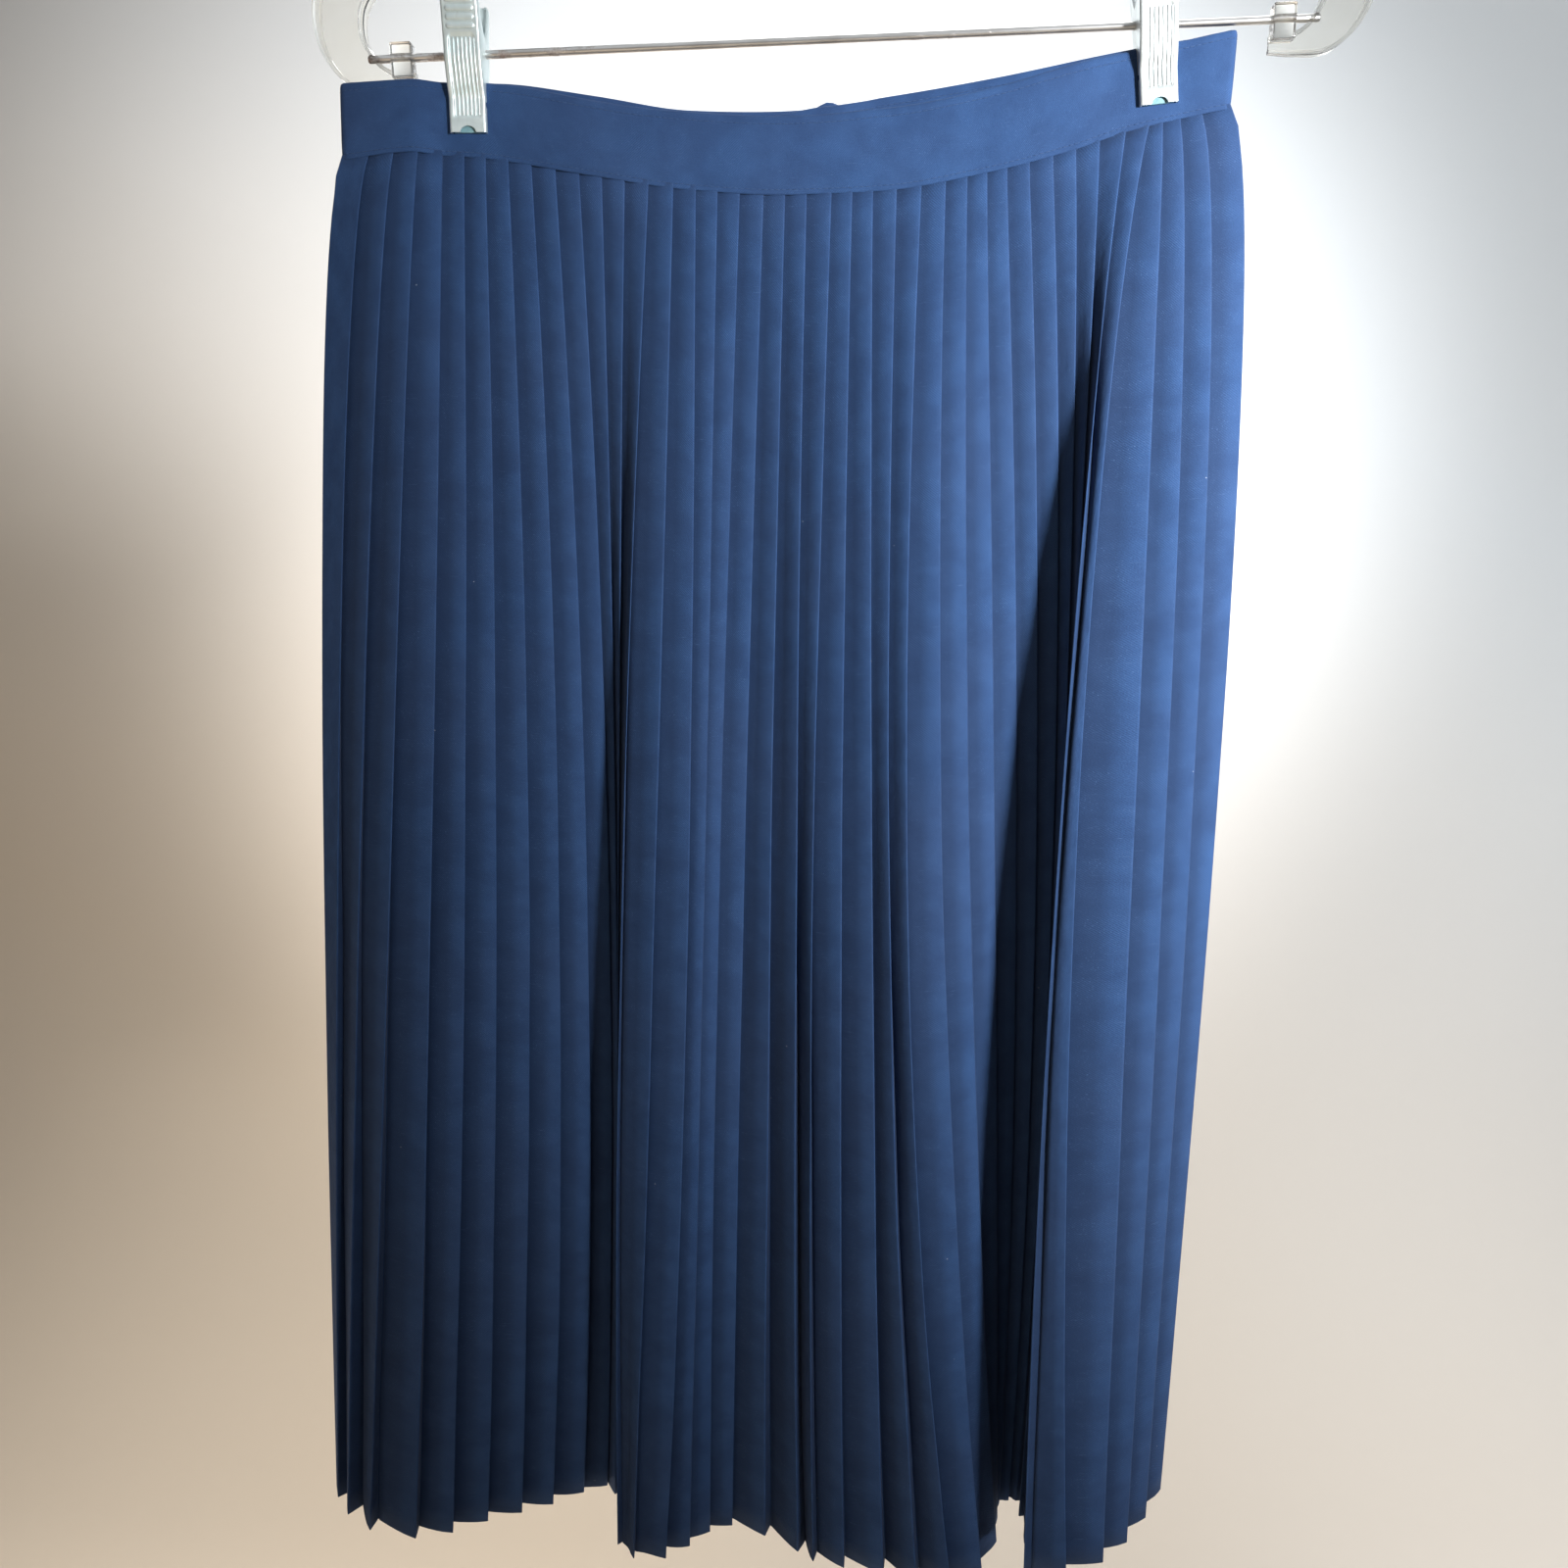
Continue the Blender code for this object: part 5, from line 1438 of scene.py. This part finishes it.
def build_placket_stitches(tree, thread):
    """A row of stitches beside each edge of the placket, meeting under the zip's foot."""
    foot, beside, out = ZIP_LENGTH + 3.0 * MM, 4.7 * MM, 0.33 * MM
    downs = [mix(2.0 * MM, foot, i / 60) for i in range(61)]
    rows = [[centre_back(down, out, side * beside) for down in downs] for side in (-1, 1)]
    rows.append([centre_back(foot, out, mix(-beside, beside, i / 8)) for i in range(9)])
    data = grown("placket_stitches", line_mesh(rows), tree, thread, {
        "Pitch": 2.6 * MM, "Stitch": 2.2 * MM, "Thread": 0.17 * MM, "Loose": 0.06, "Seed": 11})
    show("placket_stitches", data, None, "navy_wool_twill")


def build_band_stitches(tree, thread):
    """The band's two rows of topstitching, on its outer face and on its inner one."""
    rows = []
    for up in (BAND_FOOT_STITCH, BAND_TOP_STITCH):
        for face in (1, -1):
            out = face * (BAND_FACE_OUT * 0.80 + BAND_SHEET / 2 + 0.05 * MM)
            line = band_line(lambda spot: out + puckers(spot.along, up), lambda spot: up)
            rows.append(line[2:-2])
    data = grown("band_stitches", line_mesh(rows), tree, thread, {
        "Pitch": 2.5 * MM, "Stitch": 2.3 * MM, "Thread": 0.13 * MM, "Loose": 0.05, "Seed": 4})
    show("band_stitches", data, None, "navy_wool_twill")


def build_button(resin, thread):
    across = through(BACK_FOLDS, "waist", CLOSURE_PLEAT) * MM - BUTTON_FROM_END
    where = Matrix.Translation((SKIRT_MIDDLE + across, half_gap(across) + BAND_THICK / 2 + GAP,
                                seam_height(across, True) + BAND_HEIGHT / 2))
    disc = turned([(r * MM, out * MM) for r, out in BUTTON_SECTION], 64, "Y")
    drill = [(0.0, -2 * MM), (0.8 * MM, -2 * MM), (0.8 * MM, 5 * MM), (0.0, 5 * MM)]
    holes = [turned(drill, 20, "Y", (x * BUTTON_HOLE_OFF, 0, z * BUTTON_HOLE_OFF))
             for x in (-1, 1) for z in (-1, 1)]
    data = creased(combined(disc, holes, "DIFFERENCE"), 45.0)
    button = show("turned_button", placed(data, where), resin, "navy_button", "button")
    round_over(button, 0.10 * MM)
    strands = []
    for z in (-1, 1):
        for step in (-0.28, 0.0, 0.28):
            high = z * BUTTON_HOLE_OFF + step * MM
            strands.append(tube([(x * MM, out * MM, high) for x, out in THREAD_LINE], 0.16 * MM, 7))
    strands.append(tube([(0, 0.4 * MM, 0), (0, -0.3 * MM, 0)], 1.6 * MM, 14, False))
    show("button_thread", placed(together(strands), where), thread, "navy_button")


# ---------------------------------------------------------------- the set
def build_stage():
    """A pale floor that turns up into the wall behind, painted lighter and cooler up and to the right and
    beige and darker down and to the left: painted light and shade.
    """
    floor, wall, bend = -1.75, 1.75, 0.9
    turn = arc(wall - bend, floor + bend, bend, -math.pi / 2, math.pi / 2, 12)
    profile = [(-4.0, floor)] + turn + [(wall, 3.2)]
    bm = bmesh.new()
    laid(bm, [[bm.verts.new((x, y, z)) for x in (-5.0, -2.0, 0.0, 2.0, 5.0)] for y, z in profile])
    mat, g, place = material("backdrop_paper")
    # Painted light and shade: lighter and cooler up and to the right, beige and darker down and to the left.
    height = g.split(place)[0] * 0.5 + g.split(place)[2]
    share = g.ramp(height, -1.9, 0.35) + (g.noise(place, 0.9) - 0.5) * 0.12
    painted(mat, g, {
        "Base Color": g.tint(share, (0.60, 0.51, 0.41), (0.60, 0.63, 0.655)),
        "Roughness": g.ramp(g.noise(place, 40.0), 0.3, 0.7, 0.85, 0.95)})
    data = to_mesh(bm)
    data.materials.append(mat)
    linked("backdrop", data)


def aimed(place, target):
    """A matrix at place whose -Z looks at the target."""
    way = (Vector(target) - Vector(place)).normalized()
    return Matrix.Translation(place) @ way.to_track_quat("-Z", "Y").to_matrix().to_4x4()


Lamp = namedtuple("Lamp", "name place target size spread power tint")
LAMPS = [
    Lamp("fill", (-1.2, -1.7, -0.9), (0.0, 0.0, -0.6), 1.6, 180, 4.2, (1.0, 0.76, 0.52)),
    Lamp("top", (0.2, 0.7, 1.1), (0.0, 0.1, -0.3), 1.0, 180, 11.0, (1.0, 0.99, 0.97)),
    Lamp("back", (-0.9, 1.1, 0.1), (0.0, 0.0, -0.55), 1.1, 180, 10.0, (0.96, 0.98, 1.0)),
    Lamp("wall", (0.9, 0.3, 1.2), (0.6, 1.75, 0.1), 1.2, 180, 14.0, (0.95, 0.98, 1.0)),
    Lamp("wall_low", (-0.6, 0.3, -1.5), (-0.6, 1.75, -0.8), 1.3, 180, 15.0, (1.0, 0.95, 0.86)),
    Lamp("wall_right", (1.3, 0.25, -1.0), (1.3, 1.75, -0.9), 1.3, 180, 19.0, (0.96, 0.98, 1.0)),
    Lamp("floor", (0.0, -2.3, 1.2), (0.0, -2.6, -1.75), 3.0, 50, 26.0, (1.0, 0.98, 0.95)),
    Lamp("card", (0.0, -1.0, 0.95), (0.0, 0.0, -0.16), 2.4, 180, 9.0, (0.97, 0.99, 1.0)),
]
SKY_LIGHT = 0.08               # the world's strength as a light, and as the eye sees it
SKY_SEEN = 0.70
KEY_PLACE = (1.46, -1.60, -0.12)
KEY_TARGET = (0.68, 0.0, -0.19)
KEY_SPREAD = math.radians(44.0)
KEY_POWER = 1040.0

CAMERA_PLACE = (0.016, -0.537, -0.366)
CAMERA_TURN = (-1.95, 12.0, 1.80)    # degrees: to the left, down, anticlockwise
SENSOR_WIDTH = 36.0


def build_lights():
    """A soft key that fades towards the lower left, with weak lamps all round."""
    spot = bpy.data.lights.new("key", "SPOT")
    spot.energy = KEY_POWER
    spot.spot_size = KEY_SPREAD
    spot.spot_blend = 1.0
    spot.shadow_soft_size = 0.28
    key = linked("key", spot)
    key.matrix_world = aimed(KEY_PLACE, KEY_TARGET)
    key.visible_camera = key.visible_transmission = False
    for lamp in LAMPS:
        data = bpy.data.lights.new(lamp.name, "AREA")
        data.size = lamp.size
        data.spread = math.radians(lamp.spread)
        data.energy = lamp.power
        data.color = lamp.tint
        light = linked(lamp.name, data)
        light.matrix_world = aimed(lamp.place, lamp.target)
        light.visible_camera = light.visible_transmission = False
        # The card is only there for bright metal to mirror.
        light.visible_diffuse = lamp.name != "card"
    world = bpy.data.worlds.new("studio")
    world.use_nodes = True
    g = Graph(world.node_tree)
    ray = g.node("ShaderNodeLightPath")
    seen = g.math("MAXIMUM", ray["Is Camera Ray"], ray["Is Transmission Ray"])
    g.feed(world.node_tree.nodes["Background"], {
        "Color": (0.90, 0.93, 1.0, 1.0), "Strength": g.ramp(seen, 0.0, 1.0, SKY_LIGHT, SKY_SEEN)})
    bpy.context.scene.world = world
    bpy.context.scene.view_settings.view_transform = "Standard"


def build_camera():
    """In front of the skirt's upper quarter, looking a little down."""
    yaw, pitch, roll = (math.radians(angle) for angle in CAMERA_TURN)
    ahead = Vector((math.sin(yaw) * math.cos(pitch), math.cos(yaw) * math.cos(pitch), -math.sin(pitch)))
    level = Vector((math.cos(yaw), -math.sin(yaw), 0))
    above = level.cross(ahead)
    right = level * math.cos(roll) + above * math.sin(roll)
    up = above * math.cos(roll) - level * math.sin(roll)
    data = bpy.data.cameras.new("camera")
    data.sensor_width = SENSOR_WIDTH
    data.lens = SENSOR_WIDTH * 1202 / 1600
    data.clip_start = 0.01
    camera = linked("camera", data)
    camera.matrix_world = Matrix.Translation(CAMERA_PLACE) @ Matrix((right, up, -ahead)).transposed().to_4x4()
    bpy.context.scene.camera = camera


# ---------------------------------------------------------------- the object
twill = wool_twill()
thread = sewing_thread()
build_waistband(twill)
build_panels(twill)
build_zip(woven_tape(), worn_enamel())
stitching = running_stitches()
build_placket_stitches(stitching, thread)
build_band_stitches(stitching, thread)
build_button(button_resin(), thread)
nickel = plated_steel("nickel_plate", (0.62, 0.73, 0.74), (0.76, 0.86, 0.87), (0.32, 0.48))
# The right clip's copy of the nickel plate, painted darker: painted shade against the stronger light it
# stands in.
plating = plated_steel("nickel_plate_painted_darker", (0.47, 0.52, 0.53), (0.60, 0.645, 0.65), (0.34, 0.52), 0.8)
build_hanger(clear_plastic())
build_hook(nickel)
build_rod(rusty_steel())
build_clips(nickel, plating, soft_rubber())
build_stage()
build_lights()
build_camera()
